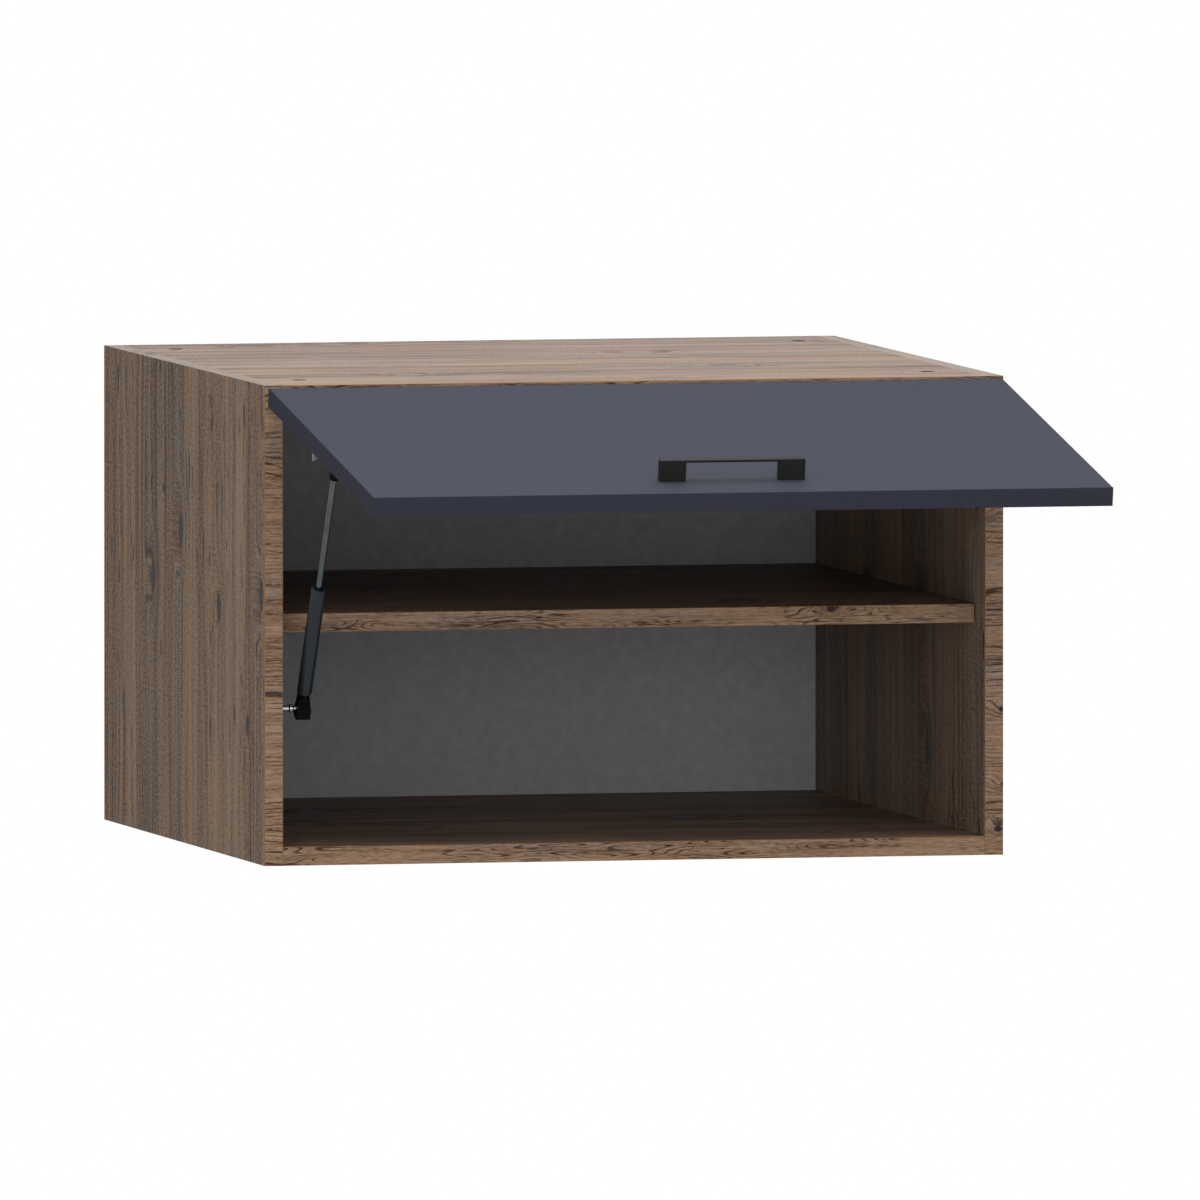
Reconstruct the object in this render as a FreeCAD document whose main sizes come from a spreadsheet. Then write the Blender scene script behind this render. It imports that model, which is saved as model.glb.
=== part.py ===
"""Wall cabinet with a lift-up flap door, held open by one gas strut.

Millimetres. The origin is the centre of the rear (wall) face, +X to the right seen from the front,
+Y into the wall, +Z up. The document is modelled with the flap open by the sheet's open_angle.
"""
import FreeCAD, Part
import os
import Sketcher

DOC = FreeCAD.newDocument("wall_cabinet")
X_AXIS, Y_AXIS, Z_AXIS = FreeCAD.Vector(1, 0, 0), FreeCAD.Vector(0, 1, 0), FreeCAD.Vector(0, 0, 1)
ALONG = {  # turns the local X axis into the named direction
    "+X": FreeCAD.Rotation(),
    "-X": FreeCAD.Rotation(Z_AXIS, 180),
    "+Y": FreeCAD.Rotation(Z_AXIS, 90),
    "-Y": FreeCAD.Rotation(Z_AXIS, -90),
    "+Z": FreeCAD.Rotation(Y_AXIS, -90),
    "-Z": FreeCAD.Rotation(Y_AXIS, 90),
}
NODES = []

# Driving sizes

SIZES = {
    # carcass boards
    "width": 600, "height": 380, "side_depth": 577, "board": 15, "back_board": 3,
    "band": 0.8, "band_round": 0.6, "back_margin": 1, "shelf_setback": 32, "shelf_end_gap": 1,
    "shelf_rear_gap": 2,
    # fasteners of the carcass
    "drill_room": 0.1, "cut_past": 1, "cam_radius": 6, "cam_height": 9.5, "cam_pocket": 12,
    "cam_inset": 29.5, "cam_front": 71.5, "cam_rear": 65, "cam_mouth": 3.6, "cross_length": 7,
    "cross_width": 1.3, "cross_depth": 1.6, "bolt_grip": 10, "bolt_thread": 2.6, "bolt_shank": 2.4,
    "bolt_collar": 3.3, "bolt_collar_thick": 3, "bolt_head": 3.2, "bolt_head_length": 4,
    "dowel_radius": 4, "dowel_length": 30, "dowel_grip": 10, "dowel_bevel": 0.8, "dowel_offset": 32,
    "peg_radius": 2.5, "peg_grip": 8, "peg_reach": 9, "peg_collar": 3.6, "peg_collar_thick": 0.8,
    "peg_front": 75, "peg_rear": 70, "back_screw": 1.4, "back_screw_head": 2.8,
    "back_screw_length": 16, "back_screw_corner": 95,
    # hanging plates in the upper rear corners
    "plate_side": 60, "plate_thick": 2, "plate_room": 0.5, "plate_corner": 6, "hang_hole": 4.5,
    "hang_inset": 35, "plate_screw": 1.8, "plate_screw_head": 3.4, "plate_screw_length": 25,
    "plate_screw_near": 30, "plate_screw_far": 50,
    # flap and its handle
    "flap_board": 15, "flap_gap": 2.5, "top_reveal": 2.5, "bottom_reveal": 3.5, "side_reveal": 2,
    "open_angle": 80, "handle_spacing": 96, "handle_leg": 21, "handle_deep": 8, "handle_rise": 17,
    "handle_bar": 2, "handle_round": 0.6, "handle_edge": 44, "handle_bore": 2, "handle_tap": 9,
    "handle_head": 4, "handle_head_high": 2.2, "handle_head_bevel": 1.1, "bumper_radius": 4,
    "bumper_high": 2.2, "bumper_round": 1.4, "bumper_edge": 20,
    # single-pivot cup hinges
    "pivot_depth": 9, "pivot_drop": 6.5, "hinge_inset": 100, "cup_radius": 17.5, "cup_depth": 12,
    "cup_wall": 0.7, "cup_edge": 3, "cup_rim": 1, "flange_long": 62, "flange_high": 22,
    "flange_thick": 1, "flange_corner": 6, "cup_screw_pitch": 48, "cup_screw": 1.6, "cup_screw_head": 3,
    "cup_screw_length": 10, "pin_radius": 1, "pin_length": 17, "knuckle": 1.9, "knuckle_wide": 10,
    "cheek_low": 3.8, "pivot_room": 0.3, "pin_room": 0.05, "arm_thick": 2.2, "arm_bend": 2.2,
    "arm_drop": 11, "arm_reach": 72, "arm_wide": 16, "arm_wide_from": 14, "arm_corner": 4,
    "rail_wide": 16, "rail_long": 46, "rail_front": 22, "wing_span": 48, "wing_deep": 16,
    "wing_thick": 2.5, "wing_corner": 5, "wing_screw_pitch": 32, "arm_screw": 2.4,
    "arm_screw_head": 4.2, "arm_screw_head_high": 2, "arm_screw_short": 1,
    # gas strut and its two ball studs
    "strut_offset": 21, "stud_setback": 25, "stud_height": 123, "stud_drop": 100,
    "stud_standoff": 17, "ball_radius": 4, "ball_room": 0.1, "ball_neck": 2, "ball_reach": 7.2,
    "stud_pin": 2.35, "stud_collar": 3.4, "stud_collar_long": 3.8, "stud_collar_bevel": 0.95,
    "stud_thread": 2.5, "stud_grip": 10, "stud_flange": 5.5, "stud_flange_thick": 2,
    "block_near": 5.2, "block_far": 6.2, "block_half_deep": 5.8, "block_foot": 8, "block_head": 1.5,
    "block_round": 1.5, "hood_inset": 0.5, "hood_top": 11, "hood_tip": 4.4, "rib_wide": 1.1,
    "rib_pitch": 4.6, "rib_stand": 0.4, "rib_top": 8, "socket_neck": 4.6, "lower_neck": 15,
    "upper_neck": 20.5, "mouth_room": 0.6, "split_gap": 0.3, "thread_radius": 2.2, "thread_reach": 7,
    "thread_slack": 0.5,
    "tube_radius": 6, "tube_wall": 1, "tube_long": 100, "tube_floor": 2, "tube_lip": 1,
    "tube_round": 0.9, "rod_radius": 2.4, "rod_room": 0.1, "gland_long": 5, "piston_long": 3,
    "piston_rest": 0.3,
    # bracket of the strut on the flap
    "lug_clear": 1.5, "lug_thick": 1.5, "lug_tip": 3.5, "lug_foot": 24, "lug_shoulder": 3,
    "lug_waist": 12, "foot_wide": 24, "foot_long": 44, "foot_thick": 2, "foot_corner": 4,
    "foot_screw": 1.8, "foot_screw_head": 3.4, "foot_screw_length": 12, "foot_screw_pitch": 30,
    "foot_screw_edge": 14,
}

# Places that follow from the sizes

PLACES = {
    "half_width": "size.width / 2",
    "half_height": "size.height / 2",
    "inner_half": "size.width / 2 - size.board",
    "under_top": "size.height / 2 - size.board",
    "front": "-size.side_depth - size.back_board",
    "board_front": "-size.side_depth - size.back_board + size.band",
    "board_deep": "size.side_depth - size.band",
    "joint_z": "size.height / 2 - size.board / 2",
    "cam_front_y": "-size.side_depth - size.back_board + size.cam_front",
    "cam_rear_y": "-size.back_board - size.cam_rear",
    "peg_front_y": "-size.side_depth - size.back_board + size.shelf_setback + size.peg_front",
    "peg_rear_y": "-size.back_board - size.peg_rear",
    "peg_z": "-size.board / 2 - size.peg_radius",
    "screw_x": "size.width / 2 - size.board / 2",
    "screw_far_z": "size.height / 2 - size.back_screw_corner",
    "screw_far_x": "size.width / 2 - size.back_screw_corner",
    "hang_x": "size.width / 2 - size.hang_inset",
    "hang_z": "size.height / 2 - size.hang_inset",
    "flap_half": "size.width / 2 - size.side_reveal",
    "flap_long": "size.height - size.top_reveal - size.bottom_reveal",
    "flap_outer": "size.pivot_depth - size.flap_board",
    "flap_foot": "size.pivot_drop - size.height + size.top_reveal + size.bottom_reveal",
    "pivot_y": "-size.side_depth - size.back_board - size.flap_gap - size.pivot_depth",
    "pivot_z": "size.height / 2 - size.top_reveal - size.pivot_drop",
    "hinge_x": "size.width / 2 - size.hinge_inset",
    "cup_z": "size.pivot_drop - size.cup_edge - size.cup_radius",
    "rail_high": "size.pivot_drop + size.top_reveal + size.arm_drop - size.board",
    "rail_mid": "-size.side_depth - size.back_board + size.rail_front + size.rail_long / 2",
    "handle_z": "size.pivot_drop - size.height + size.top_reveal + size.bottom_reveal"
                " + size.handle_edge",
    "strut_x": "-size.width / 2 + size.board + size.strut_offset",
    "lower_y": "-size.side_depth - size.back_board + size.stud_setback",
    "lower_z": "-size.height / 2 + size.stud_height",
    "stud_y": "size.pivot_depth + size.stud_standoff",
    "stud_z": "size.pivot_drop - size.stud_drop",
    "swing_y": "(size.pivot_depth + size.stud_standoff) * cos(size.open_angle)"
               " + (size.pivot_drop - size.stud_drop) * sin(size.open_angle)",
    "swing_z": "(size.pivot_drop - size.stud_drop) * cos(size.open_angle)"
               " - (size.pivot_depth + size.stud_standoff) * sin(size.open_angle)",
    "reach_y": "at.pivot_y + at.swing_y - at.lower_y",
    "reach_z": "at.pivot_z + at.swing_z - at.lower_z",
    "strut_long": "sqrt(at.reach_y * at.reach_y + at.reach_z * at.reach_z)",
    "strut_tilt": "atan2(-at.reach_y; at.reach_z)",
    "tube_top": "size.lower_neck + size.tube_long",
    "gland_foot": "size.lower_neck + size.tube_long - size.tube_lip - size.gland_long",
    "piston_top": "size.lower_neck + size.tube_long - size.tube_lip - size.gland_long"
                  " - size.piston_rest",
    "lug_x": "-size.width / 2 + size.board + size.lug_clear",
    "block_mid": "(size.block_far - size.block_near) / 2",
    "block_half": "(size.block_far + size.block_near) / 2",
}


def fill_sheet(name, rows, lead):
    sheet = DOC.addObject("Spreadsheet::Sheet", name)
    for row, (alias, value) in enumerate(rows.items(), start=1):
        sheet.set(f"A{row}", alias)
        sheet.set(f"B{row}", f"{lead}{value}")
        sheet.setAlias(f"B{row}", alias)


fill_sheet("size", SIZES, "")
fill_sheet("at", PLACES, "=")
DOC.recompute()

# Small helpers: every size and place is an expression on the two sheets


def bind(obj, **expressions):
    for name, text in expressions.items():
        obj.setExpression(name, text)
    return obj


def put(obj, x="0", y="0", z="0", turn=None):
    if turn is not None:
        obj.Placement = FreeCAD.Placement(FreeCAD.Vector(), turn)
    for axis, text in zip("xyz", (x, y, z)):
        obj.setExpression(f"Placement.Base.{axis}", text)
    return obj


def box(name, low, spans):
    obj = DOC.addObject("Part::Box", name)
    bind(obj, Length=spans[0], Width=spans[1], Height=spans[2])
    return put(obj, *low)


def cylinder(name, radius, length, spot, along):
    obj = DOC.addObject("Part::Cylinder", name)
    bind(obj, Radius=radius, Height=length)
    return put(obj, *spot, turn=ALONG[along].multiply(FreeCAD.Rotation(Y_AXIS, 90)))


def sphere(name, radius, spot):
    return put(bind(DOC.addObject("Part::Sphere", name), Radius=radius), *spot)


def fuse(name, pieces):
    obj = DOC.addObject("Part::MultiFuse", name)
    obj.Shapes = pieces
    return obj


def cut(name, base, tools):
    obj = DOC.addObject("Part::Cut", name)
    obj.Base = base
    obj.Tool = tools[0] if len(tools) == 1 else fuse(name + "_tools", tools)
    return obj


def plane_of(body, role):
    return next(item for item in body.Origin.OriginFeatures if item.Role == role)


def outline(body, name, role, points):
    """A closed sketch whose corners are held by expressions, drawn on one origin plane of the body."""
    sketch = body.newObject("Sketcher::SketchObject", name)
    sketch.AttachmentSupport = [(plane_of(body, role), "")]
    sketch.MapMode = "FlatFace"
    count = len(points)
    for i in range(count):
        start, end = FreeCAD.Vector(i, i * i, 0), FreeCAD.Vector(i + 1, (i + 1) ** 2, 0)
        sketch.addGeometry(Part.LineSegment(start, end))
    for i in range(count):
        sketch.addConstraint(Sketcher.Constraint("Coincident", i, 2, (i + 1) % count, 1))
    for i, corner in enumerate(points):
        for axis, text in zip("XY", corner):
            index = sketch.addConstraint(Sketcher.Constraint("Distance" + axis, -1, 1, i, 1, 1.0))
            sketch.renameConstraint(index, f"{axis.lower()}{i}")
            sketch.setExpression(f"Constraints.{axis.lower()}{i}", text)
    return sketch


def turned(name, profile, grow=""):
    """A body turned about its X axis from (along, radius) corners; grow is added to each radius."""
    body = DOC.addObject("PartDesign::Body", name)
    corners = [(along, radius if radius == "0" else radius + grow) for along, radius in profile]
    sketch = outline(body, name + "_profile", "XY_Plane", corners)
    turn = body.newObject("PartDesign::Revolution", name + "_turn")
    turn.Profile = sketch
    turn.ReferenceAxis = (sketch, ["H_Axis"])
    turn.Angle = 360
    return body


def padded(name, role, points, length):
    """A body padded equally to both sides of one of its origin planes."""
    body = DOC.addObject("PartDesign::Body", name)
    pad = body.newObject("PartDesign::Pad", name + "_pad")
    pad.Profile = outline(body, name + "_profile", role, points)
    pad.SideType = "Symmetric"
    bind(pad, Length=length)
    return body


def rounded(body, radius, picks):
    """Rounds those edges of a body's last feature that the test picks."""
    DOC.recompute()
    feature = body.Tip
    edges = [f"Edge{i}" for i, edge in enumerate(feature.Shape.Edges, start=1) if picks(edge)]
    fillet = body.newObject("PartDesign::Fillet", body.Name + "_round")
    fillet.Base = (feature, edges)
    bind(fillet, Radius=radius)
    return body


def runs(edge, axis):
    """Whether a straight edge runs along the axis."""
    return edge.Curve.TypeId == "Part::GeomLine" and abs(edge.Curve.Direction.dot(axis)) > 0.99


def at_low(edge, axis, body):
    """Whether an edge lies at the body's lowest place along the axis."""
    lowest = min(point.Point.dot(axis) for point in body.Tip.Shape.Vertexes)
    return all(abs(point.Point.dot(axis) - lowest) < 0.001 for point in edge.Vertexes)


def plate(name, role, points, thick, corner):
    """A flat plate whose corners are rounded; the role names the plane that it lies in."""
    normal = {"XY_Plane": Z_AXIS, "XZ_Plane": Y_AXIS, "YZ_Plane": X_AXIS}[role]
    return rounded(padded(name, role, points, thick), corner, lambda edge: runs(edge, normal))


def rectangle(low_u, low_v, high_u, high_v):
    return [(low_u, low_v), (high_u, low_v), (high_u, high_v), (low_u, high_v)]


def strip(name, role, points, length, out):
    """An edge band: its two long edges on the side that faces out are rounded."""
    along = {"XY_Plane": Z_AXIS, "YZ_Plane": X_AXIS}[role]
    body = padded(name, role, points, length)
    return rounded(body, "size.band_round", lambda edge: runs(edge, along) and at_low(edge, -out, body))


def copies(name, source, spots):
    """One compound of links to a source; each spot is (x, y, z, direction of the source's X axis)."""
    links = []
    for i, (x, y, z, along) in enumerate(spots):
        link = DOC.addObject("App::Link", f"{name}_{i}")
        link.LinkedObject = source
        links.append(put(link, x, y, z, turn=ALONG[along]))
    group = DOC.addObject("Part::Compound", name)
    group.Links = links
    return group


def fastener(name, profile, spots):
    """A group of equal turned pieces and, as a second group, the drill that makes their holes."""
    pieces = copies(name, turned(name + "_one", profile), spots)
    drill = turned(name + "_bit", profile, " + size.drill_room")
    return pieces, copies(name + "_drill", drill, spots)


def screw_profile(radius, head, length):
    """A countersunk screw: the head's top at 0, the tip at the length."""
    return [("0", "0"), ("0", head), (f"{head} - {radius}", radius),
            (f"{length} - {radius}", radius), (length, "0")]


def wrapped(name, piece):
    """A compound round one placed piece, which can then take a placement of its own."""
    group = DOC.addObject("Part::Compound", name)
    group.Links = [piece]
    return group


def stood(name, body):
    """A turned piece stood up along +Z."""
    return wrapped(name, put(body, turn=ALONG["+Z"]))


def node(label, obj):
    obj.Label = label
    NODES.append(obj)
    return obj


def on_flap(obj):
    """Puts a piece drawn about the hinge axis, in the closed pose, at the open angle."""
    obj.Placement = FreeCAD.Placement(FreeCAD.Vector(), FreeCAD.Rotation(-X_AXIS, 45))
    obj.setExpression("Placement.Rotation.Angle", "size.open_angle")
    return put(obj, "0", "at.pivot_y", "at.pivot_z")


def on_strut(obj):
    """Puts a piece drawn along +Z from the lower ball on the strut's line."""
    obj.Placement = FreeCAD.Placement(FreeCAD.Vector(), FreeCAD.Rotation(X_AXIS, 45))
    obj.setExpression("Placement.Rotation.Angle", "at.strut_tilt")
    return put(obj, "at.strut_x", "at.lower_y", "at.lower_z")


def corners(x, ys, z):
    """The mirrored spots of a fastener driven into both sides: left ones point left."""
    return [(f"{sign}{x}", y, z, along) for sign, along in (("-", "-X"), ("", "+X")) for y in ys]


# Connectors of the carcass

def cam_bolts():
    grip = "size.bolt_grip"
    tip = "size.cam_inset"
    profile = [(grip, "0"), (grip, "size.bolt_thread"), ("0", "size.bolt_thread"),
               ("0", "size.bolt_collar"), ("-size.bolt_collar_thick", "size.bolt_collar"),
               ("-size.bolt_collar_thick", "size.bolt_shank"),
               (f"size.bolt_head_length - {tip}", "size.bolt_shank"),
               (f"size.bolt_head_length - {tip}", "size.bolt_head"), (f"-{tip}", "size.bolt_head"),
               (f"-{tip}", "0")]
    rows = ("at.cam_front_y", "at.cam_rear_y")
    spots = corners("at.inner_half", rows, "at.joint_z") + corners("at.inner_half", rows, "-at.joint_z")
    return fastener("cam_bolts", profile, spots)


def dowels():
    deep, long = "size.dowel_grip", "(size.dowel_grip - size.dowel_length)"
    rim, bevel = "size.dowel_radius", "size.dowel_bevel"
    profile = [(deep, "0"), (deep, f"{rim} - {bevel}"), (f"{deep} - {bevel}", rim),
               (f"{long} + {bevel}", rim), (long, f"{rim} - {bevel}"), (long, "0")]
    rows = ("at.cam_front_y + size.dowel_offset", "at.cam_rear_y - size.dowel_offset")
    spots = corners("at.inner_half", rows, "at.joint_z") + corners("at.inner_half", rows, "-at.joint_z")
    return fastener("dowels", profile, spots)


def shelf_pegs():
    collar = "-size.peg_collar_thick"
    profile = [("size.peg_grip", "0"), ("size.peg_grip", "size.peg_radius"), ("0", "size.peg_radius"),
               ("0", "size.peg_collar"), (collar, "size.peg_collar"), (collar, "size.peg_radius"),
               ("-size.peg_reach", "size.peg_radius"), ("-size.peg_reach", "0")]
    return fastener("shelf_pegs", profile,
                    corners("at.inner_half", ("at.peg_front_y", "at.peg_rear_y"), "at.peg_z"))


def back_screws():
    profile = screw_profile("size.back_screw", "size.back_screw_head", "size.back_screw_length")
    sides = [(f"{sign}at.screw_x", "0", z, "-Y") for sign in ("-", "")
             for z in ("-at.screw_far_z", "0", "at.screw_far_z")]
    ends = [(x, "0", f"{sign}at.joint_z", "-Y") for sign in ("-", "")
            for x in ("-at.screw_far_x", "0", "at.screw_far_x")]
    return fastener("back_screws", profile, sides + ends)


def cam_locks():
    """The cam: a drum with a mouth for the bolt's head and a cross for the driver, axis +Z."""
    drum = cylinder("cam_drum", "size.cam_radius", "size.cam_height", ("0", "0", "0"), "+Z")
    seat = "size.board / 2 - (size.board - size.cam_pocket)"
    mouth = cylinder("cam_mouth", "size.cam_mouth", "2 * size.cam_radius",
                     ("-size.cam_mouth / 2", "0", seat), "+X")
    top = "size.cam_height - size.cross_depth"
    half, width = "-size.cross_length / 2", "-size.cross_width / 2"
    slots = [box("cam_cross_a", (half, width, top),
                 ("size.cross_length", "size.cross_width", "size.cross_depth * 2")),
             box("cam_cross_b", (width, half, top),
                 ("size.cross_width", "size.cross_length", "size.cross_depth * 2"))]
    return cut("cam_one", drum, [mouth] + slots)


def cam_group(name, source, up):
    """Four cams in one panel's pockets, their mouths toward the panel's ends."""
    depth = "(at.half_height - size.cam_pocket)"
    flip = FreeCAD.Rotation() if up else FreeCAD.Rotation(X_AXIS, 180)
    links = []
    for sign, along in (("-", "-X"), ("", "+X")):
        for y in ("at.cam_front_y", "at.cam_rear_y"):
            link = DOC.addObject("App::Link", f"{name}_{len(links)}")
            link.LinkedObject = source
            put(link, f"{sign}(at.inner_half - size.cam_inset)", y, ("" if up else "-") + depth,
                turn=ALONG[along].multiply(flip))
            links.append(link)
    group = DOC.addObject("Part::Compound", name)
    group.Links = links
    return group


def cam_pockets(name, up):
    """The round pockets for the cams, open at the panel's outer face."""
    low = "at.half_height - size.cam_pocket" if up else "-at.half_height - size.cut_past"
    deep = "size.cam_pocket + size.cut_past"
    return [cylinder(f"{name}_{sign}{i}", "size.cam_radius + size.drill_room", deep,
                     (f"{text}(at.inner_half - size.cam_inset)", y, low), "+Z")
            for sign, text in (("a", "-"), ("b", ""))
            for i, y in enumerate(("at.cam_front_y", "at.cam_rear_y"))]


# Boards, edge bands and the back

def side_panel(label, left, drills):
    edge = "-at.half_width" if left else "at.inner_half"
    core = box(label + "_core", (edge, "at.board_front", "-at.half_height"),
               ("size.board", "at.board_deep", "size.height"))
    node(label, cut(label, core, drills))
    front = rectangle(edge, "at.front", f"{edge} + size.board", "at.board_front")
    node("band_" + label, strip("band_" + label, "XY_Plane", front, "size.height", -Y_AXIS))


def end_panel(label, up, drills):
    low = "at.under_top" if up else "-at.half_height"
    core = box(label + "_core", ("-at.inner_half", "at.board_front", low),
               ("2 * at.inner_half", "at.board_deep", "size.board"))
    node(label, cut(label, core, drills + cam_pockets(label + "_pocket", up)))
    front = rectangle("at.front", low, "at.board_front", f"{low} + size.board")
    node("band_" + label, strip("band_" + label, "YZ_Plane", front, "2 * at.inner_half", -Y_AXIS))


def shelf():
    left = "size.shelf_end_gap - at.inner_half"
    span = "2 * (at.inner_half - size.shelf_end_gap)"
    lead = "at.front + size.shelf_setback"
    node("shelf", box("shelf", (left, f"{lead} + size.band", "-size.board / 2"),
                      (span, "size.side_depth - size.shelf_setback - size.band - size.shelf_rear_gap",
                       "size.board")))
    front = rectangle(lead, "-size.board / 2", f"{lead} + size.band", "size.board / 2")
    node("band_shelf", strip("band_shelf", "YZ_Plane", front, span, -Y_AXIS))


def back_panel(screw_drill):
    half_x, half_z = "(at.half_width - size.back_margin)", "(at.half_height - size.back_margin)"
    sheet = box("back_sheet", (f"-{half_x}", "-size.back_board", f"-{half_z}"),
                (f"2 * {half_x}", "size.back_board", f"2 * {half_z}"))
    notch = "(size.plate_side + size.plate_room)"
    past = "size.cut_past"
    spans = (f"{notch} + {past}", f"size.back_board + 2 * {past}", f"{notch} + {past}")
    low = (f"-size.back_board - {past}", f"{half_z} - {notch}")
    notches = [box("notch_left", (f"-{half_x} - {past}", *low), spans),
               box("notch_right", (f"{half_x} - {notch}", *low), spans)]
    node("back_panel", cut("back_panel", sheet, notches + [screw_drill]))


def hanging_plates():
    """Corner plates sunk in the back panel's notches; each has one hole for a wall screw."""
    profile = screw_profile("size.plate_screw", "size.plate_screw_head", "size.plate_screw_length")
    face = "size.plate_thick - size.back_board"
    spots = []
    for sign in ("-", ""):
        spots += [(f"{sign}at.screw_x", face, f"at.half_height - size.plate_screw_{step}", "-Y")
                  for step in ("near", "far")]
        spots.append((f"{sign}(at.half_width - size.plate_screw_far)", face, "at.joint_z", "-Y"))
    screws, drill = fastener("hanger_screws", profile, spots)
    node("hanger_screws", screws)
    for label, sign in (("hanger_plate_left", -1), ("hanger_plate_right", 1)):
        lead = "-" if sign < 0 else ""
        outer, inner = "(at.half_width - size.back_margin)", "size.plate_side"
        points = [(f"{lead}{outer}", f"at.half_height - size.back_margin - {inner}"),
                  (f"{lead}({outer} - {inner} + size.plate_corner)",
                   f"at.half_height - size.back_margin - {inner}"),
                  (f"{lead}({outer} - {inner})",
                   f"at.half_height - size.back_margin - {inner} + size.plate_corner"),
                  (f"{lead}({outer} - {inner})", "at.half_height - size.back_margin"),
                  (f"{lead}{outer}", "at.half_height - size.back_margin")]
        sheet = padded(label + "_blank", "XZ_Plane", points, "size.plate_thick")
        put(sheet, "0", "size.plate_thick / 2 - size.back_board", "0")
        hole = cylinder(label + "_hole", "size.hang_hole", "size.plate_thick * 3",
                        (f"{lead}at.hang_x", "-size.back_board - size.plate_thick", "at.hang_z"), "+Y")
        node(label, cut(label, sheet, [hole, drill]))
    return drill


# Hinges: fixed arms under the top panel, cups in the flap

def hinge_plates():
    """Cross-shaped plates screwed under the top panel, each carrying one arm."""
    profile = screw_profile("size.cup_screw", "size.cup_screw_head",
                            "size.wing_thick + size.cup_screw_length")
    spots = [(f"{sign}at.hinge_x {side} size.wing_screw_pitch / 2", "at.rail_mid",
              "at.under_top - size.wing_thick", "+Z") for sign in ("-", "") for side in "-+"]
    screws, drill = fastener("hinge_plate_screws", profile, spots)
    node("hinge_plate_screws", screws)
    high, thick, tip = "at.rail_high", "size.arm_thick", "at.rail_high - size.arm_screw_short"
    head = [(f"-{thick} - size.arm_screw_head_high", "0"),
            (f"-{thick} - size.arm_screw_head_high", "size.arm_screw_head"),
            (f"-{thick}", "size.arm_screw_head"), (f"-{thick}", "size.arm_screw"),
            (tip, "size.arm_screw"), (tip, "0")]
    arm_spots = [(f"{sign}at.hinge_x", "at.rail_mid", f"at.under_top - {high}", "+Z")
                 for sign in ("-", "")]
    arm_screws, arm_drill = fastener("hinge_arm_screws", head, arm_spots)
    node("hinge_arm_screws", arm_screws)
    for label, sign in (("left", "-"), ("right", "")):
        centre = f"{sign}at.hinge_x"
        rail = box(f"rail_{label}", (f"{centre} - size.rail_wide / 2", "at.front + size.rail_front",
                                     f"at.under_top - {high}"),
                   ("size.rail_wide", "size.rail_long", high))
        half_span, half_deep = "size.wing_span / 2", "size.wing_deep / 2"
        wings = plate(f"wings_{label}", "XY_Plane",
                      rectangle(f"-{half_span}", f"-{half_deep}", half_span, half_deep),
                      "size.wing_thick", "size.wing_corner")
        put(wings, centre, "at.rail_mid", "at.under_top - size.wing_thick / 2")
        name = f"hinge_plate_{label}"
        node(name, cut(name, fuse(name + "_blank", [rail, wings]), [drill, arm_drill]))
        hinge_arm(f"hinge_arm_{label}", centre, arm_drill)
    return drill


def hinge_arm(label, centre, arm_drill):
    """A strap bent down from the knuckle, then back under the top panel; drawn about the hinge axis."""
    half, drop, thick = "size.arm_thick / 2", "size.arm_drop", "size.arm_thick"
    bend, lap = "size.arm_bend", "size.arm_wide_from + size.arm_corner + size.cut_past"
    neck = padded(label + "_neck", "YZ_Plane",
                  [(f"-{half}", "0"), (f"-{half}", f"-{drop} - {thick} + {bend}"),
                   (f"-{half} + {bend}", f"-{drop} - {thick}"),
                   (lap, f"-{drop} - {thick}"), (lap, f"-{drop}"),
                   (half, f"-{drop}"), (half, "0")], "size.knuckle_wide")
    strap = plate(label + "_strap", "XY_Plane",
                  rectangle("-size.arm_wide / 2", "size.arm_wide_from",
                            "size.arm_wide / 2", "size.arm_reach"), thick, "size.arm_corner")
    put(strap, "0", "0", f"-{drop} - {thick} / 2")
    ring = cylinder(label + "_ring", "size.knuckle", "size.knuckle_wide",
                    ("-size.knuckle_wide / 2", "0", "0"), "+X")
    bore = cylinder(label + "_bore", "size.pin_radius + size.pin_room",
                    "size.knuckle_wide + 2 * size.cut_past",
                    ("-size.knuckle_wide / 2 - size.cut_past", "0", "0"), "+X")
    blank = put(cut(label + "_blank", fuse(label + "_raw", [neck, strap, ring]), [bore]),
                centre, "at.pivot_y", "at.pivot_z")
    node(label, cut(label, blank, [arm_drill]))


def hinge_cups():
    """Cups let into the flap: a round pan with two cheeks that hold the pin, and a screw flange."""
    face, both = "size.pivot_depth", ("-", "")
    profile = screw_profile("size.cup_screw", "size.cup_screw_head",
                            "size.cup_screw_length + size.flange_thick")
    spots = [(f"{sign}at.hinge_x {side} size.cup_screw_pitch / 2", f"{face} + size.flange_thick",
              "at.cup_z", "-Y") for sign in both for side in "-+"]
    screws, drill = fastener("hinge_cup_screws", profile, spots)
    node("hinge_cup_screws", on_flap(screws))
    pins = [("0", "0"), ("0", "size.pin_radius"), ("size.pin_length", "size.pin_radius"),
            ("size.pin_length", "0")]
    pin_spots = [(f"{sign}at.hinge_x - size.pin_length / 2", "0", "0", "+X") for sign in both]
    pin_group, pin_drill = fastener("hinge_pins", pins, pin_spots)
    node("hinge_pins", on_flap(pin_group))
    for label, sign in (("hinge_cup_left", "-"), ("hinge_cup_right", "")):
        blank, room = hinge_cup(label, f"{sign}at.hinge_x")
        node(label, on_flap(cut(label, blank, [room, drill, pin_drill])))
    return drill


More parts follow.
